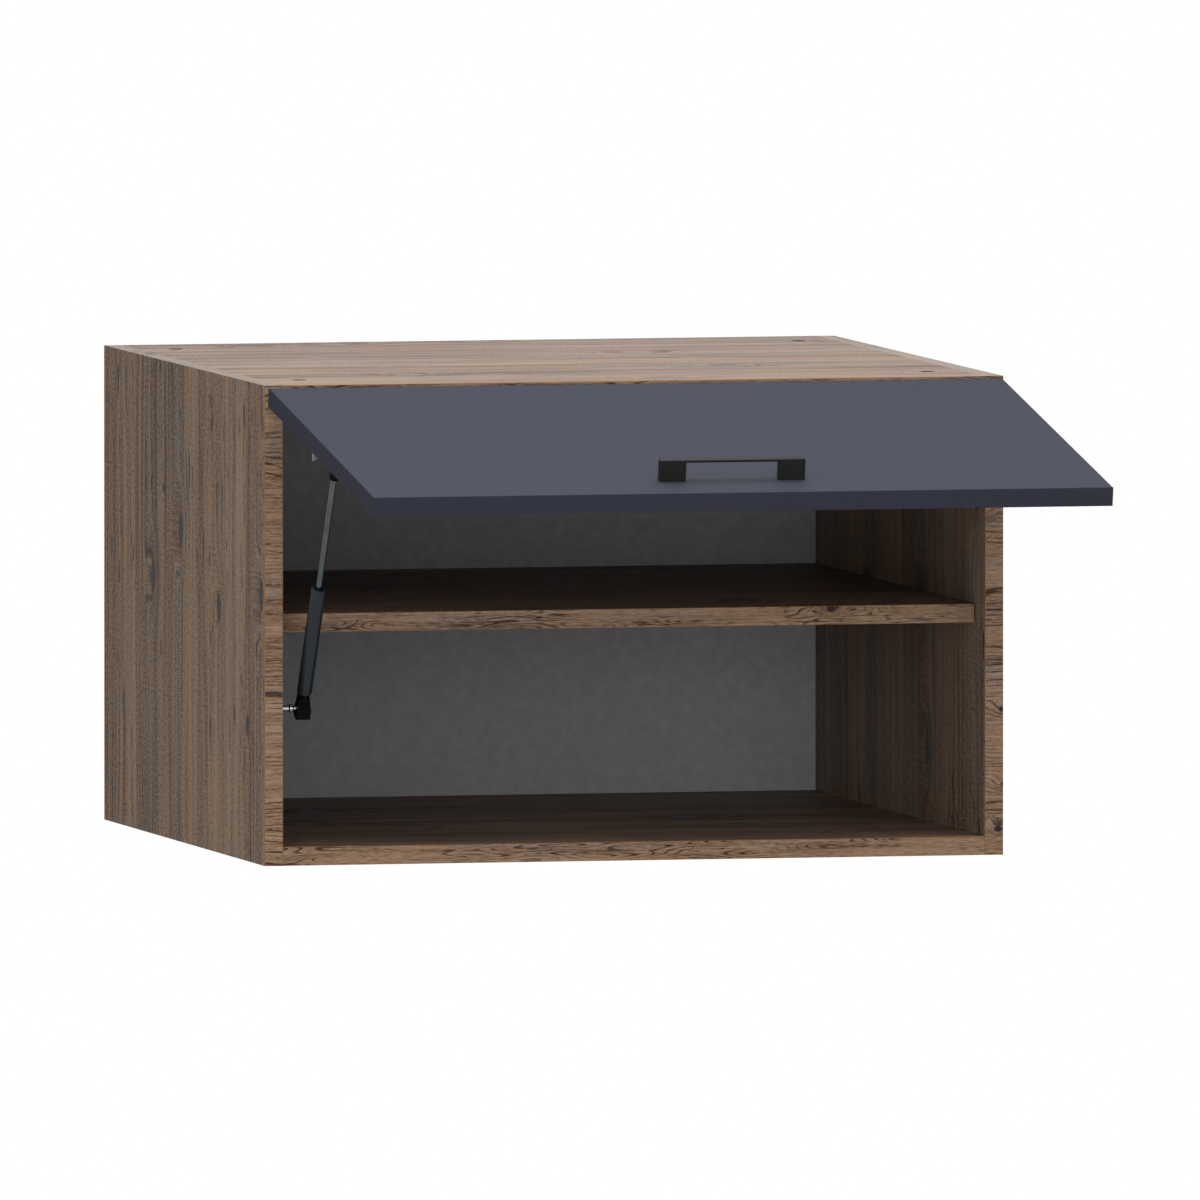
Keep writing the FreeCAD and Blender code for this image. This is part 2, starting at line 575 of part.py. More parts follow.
def hinge_cup(label, centre):
    """One cup's outside, and the room inside it that leaves the two cheeks standing."""
    face, past = "size.pivot_depth", "size.cut_past"
    pan = cylinder(label + "_pan", "size.cup_radius", "size.cup_depth",
                   (centre, f"{face} - size.cup_depth", "at.cup_z"), "+Y")
    half_long, half_high = "size.flange_long / 2", "size.flange_high / 2"
    flange = plate(label + "_flange", "XZ_Plane",
                   rectangle(f"-{half_long}", f"-{half_high}", half_long, half_high),
                   "size.flange_thick", "size.flange_corner")
    put(flange, centre, f"{face} + size.flange_thick / 2", "at.cup_z")
    collar = cylinder(label + "_collar", "size.cup_radius + size.cup_rim", "size.flange_thick",
                      (centre, face, "at.cup_z"), "+Y")
    floor, high = f"{face} - size.cup_depth + size.cup_wall", "size.cup_depth + size.flange_thick"
    hollow = cylinder(label + "_hollow", "size.cup_radius - size.cup_wall", high,
                      (centre, floor, "at.cup_z"), "+Y")
    cheeks = box(label + "_cheeks", (f"{centre} - size.cup_radius", f"{floor} - {past}", "-size.cheek_low"),
                 ("2 * size.cup_radius", f"{high} + 2 * {past}", "2 * size.cup_radius"))
    slot = box(label + "_slot", (f"{centre} - size.knuckle_wide / 2 - size.pivot_room", floor,
                                 f"-size.cheek_low - {past}"),
               ("size.knuckle_wide + 2 * size.pivot_room", high,
                f"size.cheek_low + {past} + size.knuckle + size.pivot_room"))
    room = fuse(label + "_room", [cut(label + "_pan_room", hollow, [cheeks]), slot])
    return fuse(label + "_blank", [pan, flange, collar]), room


# Flap, handle and bumpers

def handle():
    """A flat bridge on two square legs, tapped from behind for its screws."""
    face, rise = "at.flap_outer", "(at.flap_outer - size.handle_rise)"
    end = "(size.handle_spacing / 2 + size.handle_leg / 2)"
    inner = "(size.handle_spacing / 2 - size.handle_leg / 2)"
    under = f"{rise} + size.handle_bar"
    body = padded("handle_body", "XY_Plane",
                  [(f"-{end}", face), (f"-{end}", rise), (end, rise), (end, face), (inner, face),
                   (inner, under), (f"-{inner}", under), (f"-{inner}", face)], "size.handle_deep")
    rounded(body, "size.handle_round", lambda edge: not at_low(edge, -Y_AXIS, body))
    put(body, "0", "0", "at.handle_z")
    head, shank, bevel = "size.handle_head", "size.handle_bore", "size.handle_head_bevel"
    high, tip = "size.handle_head_high", "(size.flap_board + size.handle_tap)"
    profile = [(f"-{high}", "0"), (f"-{high}", f"{head} - {bevel}"), (f"{bevel} - {high}", head),
               ("0", head), ("0", shank), (tip, shank), (tip, "0")]
    spots = [(f"{sign}size.handle_spacing / 2", "size.pivot_depth", "at.handle_z", "-Y")
             for sign in ("-", "")]
    screws, drill = fastener("handle_screws", profile, spots)
    node("handle_screws", on_flap(screws))
    node("handle", on_flap(cut("handle", body, [drill])))
    return drill


def bumpers():
    """Soft domes near the flap's lower corners that meet the carcass's front edges."""
    high = "size.bumper_high"
    dome = turned("bumper_one", [("0", "0"), ("0", "size.bumper_radius"), (high, "size.bumper_radius"),
                                 (high, "0")])
    rounded(dome, "size.bumper_round", lambda edge: at_low(edge, -X_AXIS, dome))
    spots = [(f"{sign}at.screw_x", "size.pivot_depth", "at.flap_foot + size.bumper_edge", "+Y")
             for sign in ("-", "")]
    node("flap_bumpers", on_flap(copies("flap_bumpers", dome, spots)))


def flap(drills):
    """The flap's board and the four bands round it, drawn about the hinge axis in the closed pose."""
    low_x, low_z = "-at.flap_half + size.band", "at.flap_foot + size.band"
    high = "at.flap_long - 2 * size.band"
    core = box("flap_core", (low_x, "at.flap_outer", low_z),
               ("2 * (at.flap_half - size.band)", "size.flap_board", high))
    cups = [cylinder(f"cup_bore_{i}", "size.cup_radius + size.drill_room",
                     "size.cup_depth + size.drill_room + size.cut_past",
                     (f"{sign}at.hinge_x", "size.pivot_depth - size.cup_depth - size.drill_room",
                      "at.cup_z"), "+Y")
            for i, sign in enumerate(("-", ""))]
    node("flap_panel", on_flap(cut("flap_panel", core, cups + drills)))
    for label, low, out in (("top", "size.pivot_drop - size.band", Z_AXIS),
                            ("bottom", "at.flap_foot", -Z_AXIS)):
        ends = rectangle("at.flap_outer", low, "size.pivot_depth", f"{low} + size.band")
        band = strip(f"strip_{label}", "YZ_Plane", ends, "2 * at.flap_half", out)
        node(f"flap_band_{label}", on_flap(wrapped(f"flap_band_{label}", band)))
    for label, low, out in (("left", "-at.flap_half", -X_AXIS),
                            ("right", "at.flap_half - size.band", X_AXIS)):
        ends = rectangle(low, "at.flap_outer", f"{low} + size.band", "size.pivot_depth")
        band = put(strip(f"strip_{label}", "XY_Plane", ends, high, out), "0", "0",
                   "at.flap_foot + at.flap_long / 2")
        node(f"flap_band_{label}", on_flap(wrapped(f"flap_band_{label}", band)))


# Gas strut

def hood(name, half_wide, half_deep, mid):
    """A tapered hood on the block: square at its foot, slimmer at its top, along +Z."""
    body = DOC.addObject("PartDesign::Body", name)
    foot = outline(body, name + "_foot", "XY_Plane",
                   rectangle(f"{mid} - ({half_wide})", f"-({half_deep})", f"{mid} + {half_wide}", half_deep))
    bind(foot, **{"AttachmentOffset.Base.z": "size.block_head"})
    tip = outline(body, name + "_tip", "XY_Plane",
                  rectangle("-size.hood_tip", "-size.hood_tip", "size.hood_tip", "size.hood_tip"))
    bind(tip, **{"AttachmentOffset.Base.z": "size.hood_top"})
    loft = body.newObject("PartDesign::AdditiveLoft", name + "_loft")
    loft.Profile = foot
    loft.Sections = [tip]
    loft.Ruled = True
    return body


def ball_socket(name, neck):
    """A moulded socket for a ball stud along X: a square block, a ribbed hood and a neck along +Z."""
    mid, half, deep = "at.block_mid", "at.block_half", "size.block_half_deep"
    high = "(size.block_foot + size.block_head)"
    block = plate(name + "_block", "YZ_Plane", rectangle(f"-{deep}", f"-{high} / 2", deep, f"{high} / 2"),
                  f"2 * {half}", "size.block_round")
    put(block, mid, "0", f"size.block_head - {high} / 2")
    cap = hood(name + "_hood", f"{half} - size.hood_inset", f"{deep} - size.hood_inset", mid)
    stem = put(turned(name + "_stem", [("0", "0"), ("0", "size.socket_neck"), (neck, "size.socket_neck"),
                                       (neck, "0")]), turn=ALONG["+Z"])
    reach = f"2 * ({deep} - size.hood_inset + size.rib_stand)"
    ribs = [box(f"{name}_rib_{side}", ("at.block_mid - size.rib_wide / 2 " + text, f"-{reach} / 2", "0"),
                ("size.rib_wide", reach, "size.rib_top"))
            for side, text in (("a", "- size.rib_pitch / 2"), ("b", "+ size.rib_pitch / 2"))]
    seat = sphere(name + "_seat", "size.ball_radius + size.ball_room", ("0", "0", "0"))
    mouth = cylinder(name + "_mouth", "size.ball_neck + size.mouth_room", "size.block_near + size.cut_past",
                     ("0", "0", "0"), "-X")
    bore = cylinder(name + "_bore", "size.thread_radius + size.drill_room", neck,
                    ("0", "0", f"{neck} - size.thread_reach"), "+Z")
    return cut(name, fuse(name + "_blank", [block, cap, stem] + ribs), [seat, mouth, bore])


def strut_tube():
    """The pressure tube: threaded foot, floor, wall and a lip rolled over the gland."""
    foot, top, rim = "size.lower_neck", "at.tube_top", "size.tube_radius"
    wall, lip = "(size.tube_radius - size.tube_wall)", "at.tube_top - size.tube_lip"
    stub, hole = f"{foot} - size.thread_reach + size.thread_slack", "size.rod_radius + size.tube_wall"
    shell = turned("strut_tube_body", [
        (stub, "0"), (stub, "size.thread_radius"), (foot, "size.thread_radius"), (foot, rim), (top, rim),
        (top, hole), (lip, hole), (lip, wall), (f"{foot} + size.tube_floor", wall),
        (f"{foot} + size.tube_floor", "0")])
    DOC.recompute()
    outer = max(edge.Curve.Radius for edge in shell.Tip.Shape.Edges if hasattr(edge.Curve, "Radius"))
    rounded(shell, "size.tube_round", lambda edge: getattr(edge.Curve, "Radius", 0) > outer - 0.001)
    node("strut_tube", on_strut(stood("strut_tube", shell)))
    bore, edge = "size.rod_radius + size.rod_room", f"{wall} - size.rod_room"
    gland = turned("strut_gland_body", [("at.gland_foot", bore), ("at.gland_foot", edge), (lip, edge),
                                        (lip, bore)])
    node("strut_gland", on_strut(stood("strut_gland", gland)))


def strut_rod():
    """The rod: a shouldered foot that carries the piston, and a threaded tip for the upper socket."""
    wall, top = "(size.tube_radius - size.tube_wall)", "at.piston_top"
    low, rim = "at.piston_top - size.piston_long", "size.rod_radius"
    end, core = "(at.strut_long - size.upper_neck)", "size.thread_radius"
    tip = f"{end} + size.thread_reach - size.thread_slack"
    rod = turned("strut_rod_body", [(low, "0"), (low, core), (top, core), (top, rim), (end, rim),
                                    (end, core), (tip, core), (tip, "0")])
    node("strut_rod", on_strut(stood("strut_rod", rod)))
    bore, edge = f"{core} + size.drill_room", f"{wall} - size.rod_room"
    piston = turned("strut_piston_body", [(low, bore), (low, edge), (top, edge), (top, bore)])
    node("strut_piston", on_strut(stood("strut_piston", piston)))


def strut_ends():
    lower = ball_socket("lower_socket_raw", "size.lower_neck")
    node("strut_lower_socket", on_strut(lower))
    upper = put(ball_socket("upper_socket_raw", "size.upper_neck"), "0", "0", "at.strut_long",
                turn=FreeCAD.Rotation(X_AXIS, 180))
    node("strut_upper_socket", on_strut(wrapped("strut_upper_socket", upper)))
    ball = fuse("lower_ball_raw", [
        sphere("lower_ball", "size.ball_radius", ("0", "0", "0")),
        cylinder("lower_ball_neck", "size.ball_neck", "size.ball_reach", ("0", "0", "0"), "-X")])
    node("strut_lower_ball", on_strut(ball))


def side_stud():
    """The lower ball's stud, screwed into the left side; it ends where the loop of links is opened."""
    long = "(size.strut_offset - size.ball_reach - size.split_gap)"
    rise, bulge = f"{long} - size.stud_collar_long", "size.stud_collar_bevel"
    profile = [("-size.stud_grip", "0"), ("-size.stud_grip", "size.stud_thread"), ("0", "size.stud_thread"),
               ("0", "size.stud_flange"), ("size.stud_flange_thick", "size.stud_flange"),
               ("size.stud_flange_thick", "size.stud_pin"), (rise, "size.stud_pin"),
               (f"{rise} + {bulge}", "size.stud_collar"), (f"{long} - {bulge}", "size.stud_collar"),
               (long, "size.stud_pin"), (long, "0")]
    stud, drill = fastener("strut_side_stud", profile, [("-at.inner_half", "at.lower_y", "at.lower_z", "+X")])
    node("strut_side_stud", stud)
    return drill


def flap_stud():
    """The upper ball stud, riveted in the bracket's lug; drawn about the hinge axis."""
    lug, thick = "at.lug_x", "size.lug_thick"
    reach = f"(at.strut_x - {lug})"
    shoulder, bulge = f"({reach} - size.ball_reach - size.split_gap)", "size.stud_collar_bevel"
    profile = [("0", "0"), ("0", "size.stud_thread"), (thick, "size.stud_thread"), (thick, "size.stud_pin"),
               (f"{shoulder} - size.stud_collar_long", "size.stud_pin"),
               (f"{shoulder} - size.stud_collar_long + {bulge}", "size.stud_collar"),
               (f"{shoulder} - {bulge}", "size.stud_collar"), (shoulder, "size.ball_neck"),
               (reach, "size.ball_neck"), (reach, "0")]
    spot = [(lug, "at.stud_y", "at.stud_z", "+X")]
    shank, drill = fastener("flap_stud_shank", profile, spot)
    ball = sphere("flap_ball", "size.ball_radius", ("at.strut_x", "at.stud_y", "at.stud_z"))
    node("strut_flap_stud", on_flap(fuse("strut_flap_stud", [shank, ball])))
    return drill


def flap_bracket(stud_drill):
    """An L bracket: a foot on the flap's inner face and a tapered lug for the stud."""
    tip, foot, face = "size.lug_tip", "size.lug_foot / 2", "size.pivot_depth"
    out = "at.stud_y"
    lug = padded("lug_blank", "YZ_Plane",
                 [(face, f"at.stud_z - {foot}"), (f"{face} + size.lug_shoulder", f"at.stud_z - {foot}"),
                  (f"{face} + size.lug_waist", f"at.stud_z - {tip}"), (out, f"at.stud_z - {tip}"),
                  (out, f"at.stud_z + {tip}"), (f"{face} + size.lug_waist", f"at.stud_z + {tip}"),
                  (f"{face} + size.lug_shoulder", f"at.stud_z + {foot}"), (face, f"at.stud_z + {foot}")],
                 "size.lug_thick")
    put(lug, "at.lug_x + size.lug_thick / 2")
    nose = cylinder("lug_nose", tip, "size.lug_thick", ("at.lug_x", out, "at.stud_z"), "+X")
    base = plate("bracket_foot", "XZ_Plane",
                 rectangle("0", "-size.foot_long / 2", "size.foot_wide", "size.foot_long / 2"),
                 "size.foot_thick", "size.foot_corner")
    put(base, "at.lug_x", f"{face} + size.foot_thick / 2", "at.stud_z")
    profile = screw_profile("size.foot_screw", "size.foot_screw_head", "size.foot_screw_length")
    spots = [("at.lug_x + size.foot_screw_edge", f"{face} + size.foot_thick",
              f"at.stud_z {side} size.foot_screw_pitch / 2", "-Y") for side in "-+"]
    screws, drill = fastener("strut_bracket_screws", profile, spots)
    node("strut_bracket_screws", on_flap(screws))
    blank = fuse("bracket_blank", [lug, nose, base])
    node("strut_flap_bracket", on_flap(cut("strut_flap_bracket", blank, [stud_drill, drill])))
    return drill


# The whole cabinet

def build():
    bolts, bolt_drill = cam_bolts()
    pins, pin_drill = dowels()
    pegs, peg_drill = shelf_pegs()
    screws, screw_drill = back_screws()
    groups = {"cam_bolts": bolts, "dowels": pins, "shelf_pegs": pegs, "back_screws": screws}
    for label, group in groups.items():
        node(label, group)
    cam = cam_locks()
    node("cam_locks_top", cam_group("cam_locks_top", cam, True))
    node("cam_locks_bottom", cam_group("cam_locks_bottom", cam, False))
    hang_drill = hanging_plates()
    hinge_drill = hinge_plates()
    stud_drill = side_stud()
    shared = [bolt_drill, pin_drill, screw_drill, hang_drill]
    side_panel("left_side", True, shared + [peg_drill, stud_drill])
    side_panel("right_side", False, shared + [peg_drill])
    end_panel("top_panel", True, shared + [hinge_drill])
    end_panel("bottom_panel", False, [bolt_drill, pin_drill, screw_drill])
    shelf()
    back_panel(screw_drill)
    cup_drill = hinge_cups()
    handle_drill = handle()
    foot_drill = flap_bracket(flap_stud())
    bumpers()
    flap([cup_drill, handle_drill, foot_drill])
    strut_tube()
    strut_rod()
    strut_ends()


def export():
    DOC.recompute()
    failed = [obj.Label for obj in DOC.Objects if {"Invalid", "Error"} & set(obj.State)]
    failed += [obj.Label for obj in NODES if obj.Shape.isNull() or not obj.Shape.isValid()]
    if failed:
        raise RuntimeError(f"not built: {failed}")
    os.makedirs("parts", exist_ok=True)
    for obj in NODES:
        obj.Shape.exportStep(os.path.join("parts", obj.Label + ".step"))
    print(len(NODES), "nodes,", sum(len(obj.Shape.Solids) for obj in NODES), "solids")


build()
export()
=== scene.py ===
# %% [markdown]
# A wall cabinet with a lift-up flap, dressed from its CAD model. The CAD solids already have the right
# shapes and places, so this lesson gives each of them its real material and then lights and frames them.
# Every length is in metres in the model's own frame: X to the right, Y into the wall, Z up, and the origin
# is the middle of the cabinet's rear face.

# %% Load the model
import math

import bpy
from mathutils import Matrix, Vector


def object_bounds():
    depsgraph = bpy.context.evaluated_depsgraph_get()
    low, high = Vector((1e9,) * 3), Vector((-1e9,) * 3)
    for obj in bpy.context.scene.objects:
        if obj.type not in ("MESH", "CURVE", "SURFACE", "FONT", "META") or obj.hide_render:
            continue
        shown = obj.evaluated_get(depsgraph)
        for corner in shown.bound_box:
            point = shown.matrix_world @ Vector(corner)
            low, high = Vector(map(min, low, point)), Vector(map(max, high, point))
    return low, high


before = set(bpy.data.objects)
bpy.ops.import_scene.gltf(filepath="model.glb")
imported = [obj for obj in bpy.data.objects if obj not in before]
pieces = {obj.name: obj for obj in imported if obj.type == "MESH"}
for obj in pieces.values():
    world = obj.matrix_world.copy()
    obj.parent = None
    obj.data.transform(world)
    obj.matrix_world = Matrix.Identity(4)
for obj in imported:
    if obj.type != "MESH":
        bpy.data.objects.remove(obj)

scene = bpy.context.scene
scene.view_settings.view_transform = "Standard"
cad_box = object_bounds()
print("pieces:", len(pieces), "box:", [round(v, 4) for corner in cad_box for v in corner])

# %% [markdown]
# The camera comes first, because it decides which details are worth the work. The photograph has no
# vanishing points: its parallel edges stay parallel. A very long lens from far away comes close to that, and
# unlike an orthographic camera it still frames the part when it is turned to another side. It looks from 13
# degrees left of the front and 3.5 degrees above it. Even this lens shows near edges one part in a hundred
# larger, so the angles, the aim and the distance are the ones that fit all the cabinet's corners best.

# %% Camera
VIEW_LEFT = math.radians(13.208)
VIEW_ABOVE = math.radians(3.529)
LENS = 1600
DISTANCE = 42.73
AIM_RIGHT = 0.10519
AIM_UP = -0.01843
FAR_CLIP = 100

camera = bpy.data.objects.new("camera", bpy.data.cameras.new("camera"))
scene.collection.objects.link(camera)
scene.camera = camera
camera.data.lens = LENS
camera.data.clip_end = FAR_CLIP
to_camera = Vector((
    -math.sin(VIEW_LEFT) * math.cos(VIEW_ABOVE),
    -math.cos(VIEW_LEFT) * math.cos(VIEW_ABOVE),
    math.sin(VIEW_ABOVE),
))
right = Vector((math.cos(VIEW_LEFT), -math.sin(VIEW_LEFT), 0))
up = to_camera.cross(right)
spot = right * AIM_RIGHT + up * AIM_UP + to_camera * DISTANCE
camera.matrix_world = Matrix.Translation(spot) @ Matrix((right, up, to_camera)).transposed().to_4x4()
print("frame width:", round(DISTANCE * camera.data.sensor_width / LENS, 3), "m")

# %% [markdown]
# Materials in Blender are small graphs of nodes. One helper is enough to write them down: it adds a node,
# sets it up, and for each input either sets a value or draws the link from another node's output. An input
# is called by its name, or by its number where that is shorter. Map Range counts value, from min, from max,
# to min, to max. Mix counts factor, then its two sides as numbers (2, 3), vectors (4, 5) or colours (6, 7).
# Colours are noted as web colours, as a paint chart gives them, and turned to linear light.

# %% Helpers for materials
def linear(web):
    """A web colour such as #776558 as linear light, by the curve of the sRGB standard."""
    parts = [int(web[i:i + 2], 16) / 255 for i in (1, 3, 5)]
    return [*(v / 12.92 if v <= 0.04045 else ((v + 0.055) / 1.055) ** 2.4 for v in parts), 1.0]


def add(tree, kind, inputs=(), stops=(), **settings):
    """One node with its settings; each input is a value, or another node's output to link from."""
    node = tree.nodes.new("ShaderNode" + kind)
    for name, value in settings.items():
        setattr(node, name, value)
    for name, value in dict(inputs).items():
        if isinstance(value, bpy.types.NodeSocket):
            tree.links.new(value, node.inputs[name])
        else:
            node.inputs[name].default_value = value
    # A colour ramp is born with two stops, so the first two are its ends.
    for i, (position, web) in enumerate(stops):
        ramp = node.color_ramp.elements
        stop = ramp[i] if i < 2 else ramp.new(position)
        stop.position = position
        stop.color = linear(web)
    return node


def blank(name):
    """A new material with an empty graph."""
    material = bpy.data.materials.new(name)
    material.use_nodes = True
    material.node_tree.nodes.clear()
    return material, material.node_tree


print("oak, linear:", [round(v, 3) for v in linear("#776558")])

# %% [markdown]
# The carcass is chipboard with a printed rustic-oak face under melamine. The print shows old oak: long grey
# and brown streaks, dark slits, a few eye-shaped knots with the grain bending round them, and faint saw
# marks. An image of wood would do, but a pattern drawn by nodes has no seams and can be turned for each
# board. It is built in steps, and the first lays the print out flat, in millimetres along and across the
# grain. On a standing board the grain runs along Z, on a lying one along X. All the edge bands have their
# grain along X, so on an upright edge it lies across the band.

# %% Lay the print out
MM = 0.001
GRAIN_AXES = {"Z": (2, 1, 0), "X": (0, 1, 2), "band": (0, 2, 1)}
BOARD_THICK = 15
BOARD_SHIFT = 3.7
# A face is an end of its board where this much of its normal lies along the grain.
END_FACE = 0.8


def lay_out(tree, along):
    """The print in mm along and across the grain, where each face looks, and which face is an end."""
    run, width, depth = GRAIN_AXES[along]
    place = add(tree, "TexCoord").outputs
    axes = add(tree, "SeparateXYZ", {0: place["Object"]}).outputs

    # Each board shows another part of the print, so its place across the thickness shifts the pattern.
    shift = add(tree, "Math", {0: axes[depth], 1: BOARD_SHIFT, 2: axes[width]}, operation="MULTIPLY_ADD")
    face = add(tree, "CombineXYZ", {0: axes[run], 1: shift.outputs[0]}).outputs[0]
    end = add(tree, "CombineXYZ", {0: axes[width], 1: axes[depth]}).outputs[0]
    facing = add(tree, "VectorMath", {0: place["Normal"]}, operation="ABSOLUTE").outputs[0]
    facing = add(tree, "SeparateXYZ", {0: facing}).outputs
    is_end = add(tree, "Math", {0: facing[run], 1: END_FACE}, operation="GREATER_THAN").outputs[0]
    sheet = add(tree, "Mix", {0: is_end, 4: face, 5: end}, data_type="VECTOR").outputs[1]
    sheet = add(tree, "VectorMath", {0: sheet, "Scale": 1 / MM}, operation="SCALE").outputs[0]
    return sheet, facing, is_end


print("from one face of a board to the other, the print moves by", BOARD_THICK * BOARD_SHIFT, "mm")

# %% [markdown]
# Solid oak panels are glued up from lamellae, strips about 6 cm wide, and the print imitates that. Voronoi
# cells in one dimension cut the sheet into strips of uneven width and give each a random colour. Its first
# channel makes the strip lighter or darker and its second makes it older. In two dimensions the same cells
# place the knots: the distance from a cell's middle draws the eye, its filled core and the wide halo in which
# the grain bends. Some cells stay empty, because real knots keep no even distance.

# %% Lamellae and knots
FACE_KNOT = (220, 130, 0.064)
EDGE_KNOT = (70, 50, 0.055)
EYE_POINT = 1.7
RIM_BITS = 4
RIM_RAGGED = 0.9
# Where the heart and the core begin and where they are full, and how far the halo reaches, in eye sizes.
HEART = (1.0, 0.8)
CORE = (0.65, 0.4)
HALO = 4.5


def glue_up(tree, across, wide):
    """A random tone and a random age for each strip of about the given width in mm."""
    strip = add(tree, "Math", {0: across, 1: wide}, operation="DIVIDE").outputs[0]
    colour = add(tree, "TexVoronoi", {"W": strip, "Scale": 1}, voronoi_dimensions="1D").outputs["Color"]
    channels = add(tree, "SeparateXYZ", {0: colour}).outputs
    return channels[0], channels[1]


def grow_knots(tree, sheet, knot, share):
    """Heart, core and halo of the knots, from a cell's length and width in mm and the eye's part of it."""
    cell_long, cell_wide, eye = knot
    cell = add(tree, "VectorMath", {0: sheet, 1: (1 / cell_long, 1 / cell_wide, 1)}, operation="MULTIPLY")
    knots = add(tree, "TexVoronoi", {"Vector": cell.outputs[0], "Scale": 1, "Exponent": EYE_POINT},
                voronoi_dimensions="2D", distance="MINKOWSKI").outputs
    chance = add(tree, "SeparateXYZ", {0: knots["Color"]}).outputs[0]
    chosen = add(tree, "Math", {0: chance, 1: share}, operation="LESS_THAN").outputs[0]

    # Noise makes the rim ragged, and its mean is taken off again so that the eye keeps its size.
    bits = add(tree, "TexNoise", {"Vector": sheet, "Scale": RIM_BITS / (cell_wide * eye), "Detail": 2},
               noise_dimensions="2D").outputs["Fac"]
    away = add(tree, "Math", {0: bits, 1: eye * RIM_RAGGED, 2: knots["Distance"]}, operation="MULTIPLY_ADD")
    away = add(tree, "Math", {0: away.outputs[0], 1: eye * RIM_RAGGED / 2}, operation="SUBTRACT").outputs[0]
    heart = add(tree, "MapRange", {0: away, 1: eye * HEART[0], 2: eye * HEART[1], 4: chosen}).outputs[0]
    core = add(tree, "MapRange", {0: away, 1: eye * CORE[0], 2: eye * CORE[1], 4: chosen}).outputs[0]
    halo = add(tree, "MapRange", {0: away, 1: eye * HALO, 2: 0, 4: chosen},
               interpolation_type="SMOOTHERSTEP").outputs[0]
    return heart, core, halo


print("face knots are about", [round(2 * side * FACE_KNOT[2]) for side in FACE_KNOT[:2]], "mm long and wide")

# %% [markdown]
# Grain is noise that is stretched along the board, in layers from broad streaks to fine fibres. Wood grows
# round its knots, so the sheet is pushed aside there first, and every layer that is drawn on the pushed sheet
# then flows round them by itself. Growth rings come from the distance across the grain: counted in rings and
# cut at each whole number, it gives pale spring wood that darkens slowly and stops at a sharp line.

# %% Grain and growth rings
# How many finer octaves each layer of noise has.
DETAIL = {"broad": 2, "streak": 6, "fibre": 3, "grit": 1, "slit": 2, "patch": 1, "ring": 1, "score": 2}
SCORE_TURN = math.radians(38)
GRAIN_ROUGH = 0.74
# Where in a ring the wood is darkest and where it stops, and the noise levels between which rings come out.
RING_DARKEST = 0.92
RING_STOP = 0.93
RING_FADE = (0.36, 0.62)
RING_FAINT = 0.15


def bend_grain(tree, sheet, halo, wander, depths):
    """The sheet, pushed aside round each knot and wandering a little."""
    size = add(tree, "VectorMath", {0: sheet, 1: (1 / wander[0], 1 / wander[1], 1)}, operation="MULTIPLY")
    drift = add(tree, "TexNoise", {"Vector": size.outputs[0], "Scale": 1, "Detail": 3}, noise_dimensions="2D")
    push = add(tree, "Math", {0: drift.outputs["Fac"], 1: depths["wander"]}, operation="MULTIPLY").outputs[0]
    push = add(tree, "Math", {0: halo, 1: depths["bend"], 2: push}, operation="MULTIPLY_ADD").outputs[0]
    push = add(tree, "CombineXYZ", {1: push}).outputs[0]
    return add(tree, "VectorMath", {0: sheet, 1: push}, operation="ADD").outputs[0]


def draw_grain(tree, bent, grain):
    """Every layer of noise, stretched to its own length and width in mm; only the scores lie aslant."""
    layer = {}
    for kind, detail in DETAIL.items():
        turn = SCORE_TURN if kind == "score" else 0
        size = add(tree, "Mapping", {"Vector": bent, "Rotation": (0, 0, turn), "Scale": (*grain[kind], 1)},
                   vector_type="TEXTURE").outputs[0]
        noise = {"Vector": size, "Scale": 1, "Detail": detail, "Roughness": GRAIN_ROUGH}
        layer[kind] = add(tree, "TexNoise", noise, noise_dimensions="2D").outputs["Fac"]
    return layer


def ring_lines(tree, bent, layer, depths):
    """The dark ends of growth rings that are crowded here, spread there, and fainter in some patches."""
    across = add(tree, "SeparateXYZ", {0: bent}).outputs[1]
    across = add(tree, "Math", {0: across, 1: depths["apart"]}, operation="DIVIDE").outputs[0]
    count = add(tree, "Math", {0: layer["ring"], 1: depths["rings"], 2: across}, operation="MULTIPLY_ADD")
    phase = add(tree, "Math", {0: count.outputs[0]}, operation="FRACT").outputs[0]
    late = add(tree, "MapRange", {0: phase, 1: depths["thin"], 2: RING_DARKEST},
               interpolation_type="SMOOTHERSTEP").outputs[0]
    stop = add(tree, "MapRange", {0: phase, 1: 1.0, 2: RING_STOP}).outputs[0]
    line = add(tree, "Math", {0: late, 1: stop}, operation="MULTIPLY").outputs[0]
    fade = {0: layer["patch"], 1: RING_FADE[0], 2: RING_FADE[1], 3: RING_FAINT}
    uneven = add(tree, "MapRange", fade).outputs[0]
    return add(tree, "Math", {0: line, 1: uneven}, operation="MULTIPLY").outputs[0]


print("grain layers:", list(DETAIL))

# %% [markdown]
# Age shows in three ways. The oak splits into short dark slits, but only in torn patches, and a few scores
# run aslant. The weathered streaks turn grey. And there the saw has left ticks across the grain: a sine wave
# along the board, which the streaks shift to and fro so that no tick runs far.

# %% Slits and saw marks
# Each pair gives the noise levels between which a thing begins and is full. The saw's two lengths are in mm.
TORN = (0.42, 0.52)
SLIT_EDGE = 0.03
SCORED = (0.58, 0.66)
SCORE_DARK = 0.6
SCORE_OPEN = (0.62, 0.7)
STRIP_AGE = 0.12
WORN = (0.57, 0.46)
SAW_PITCH = 2.1
SAW_SHIFT = 9.0


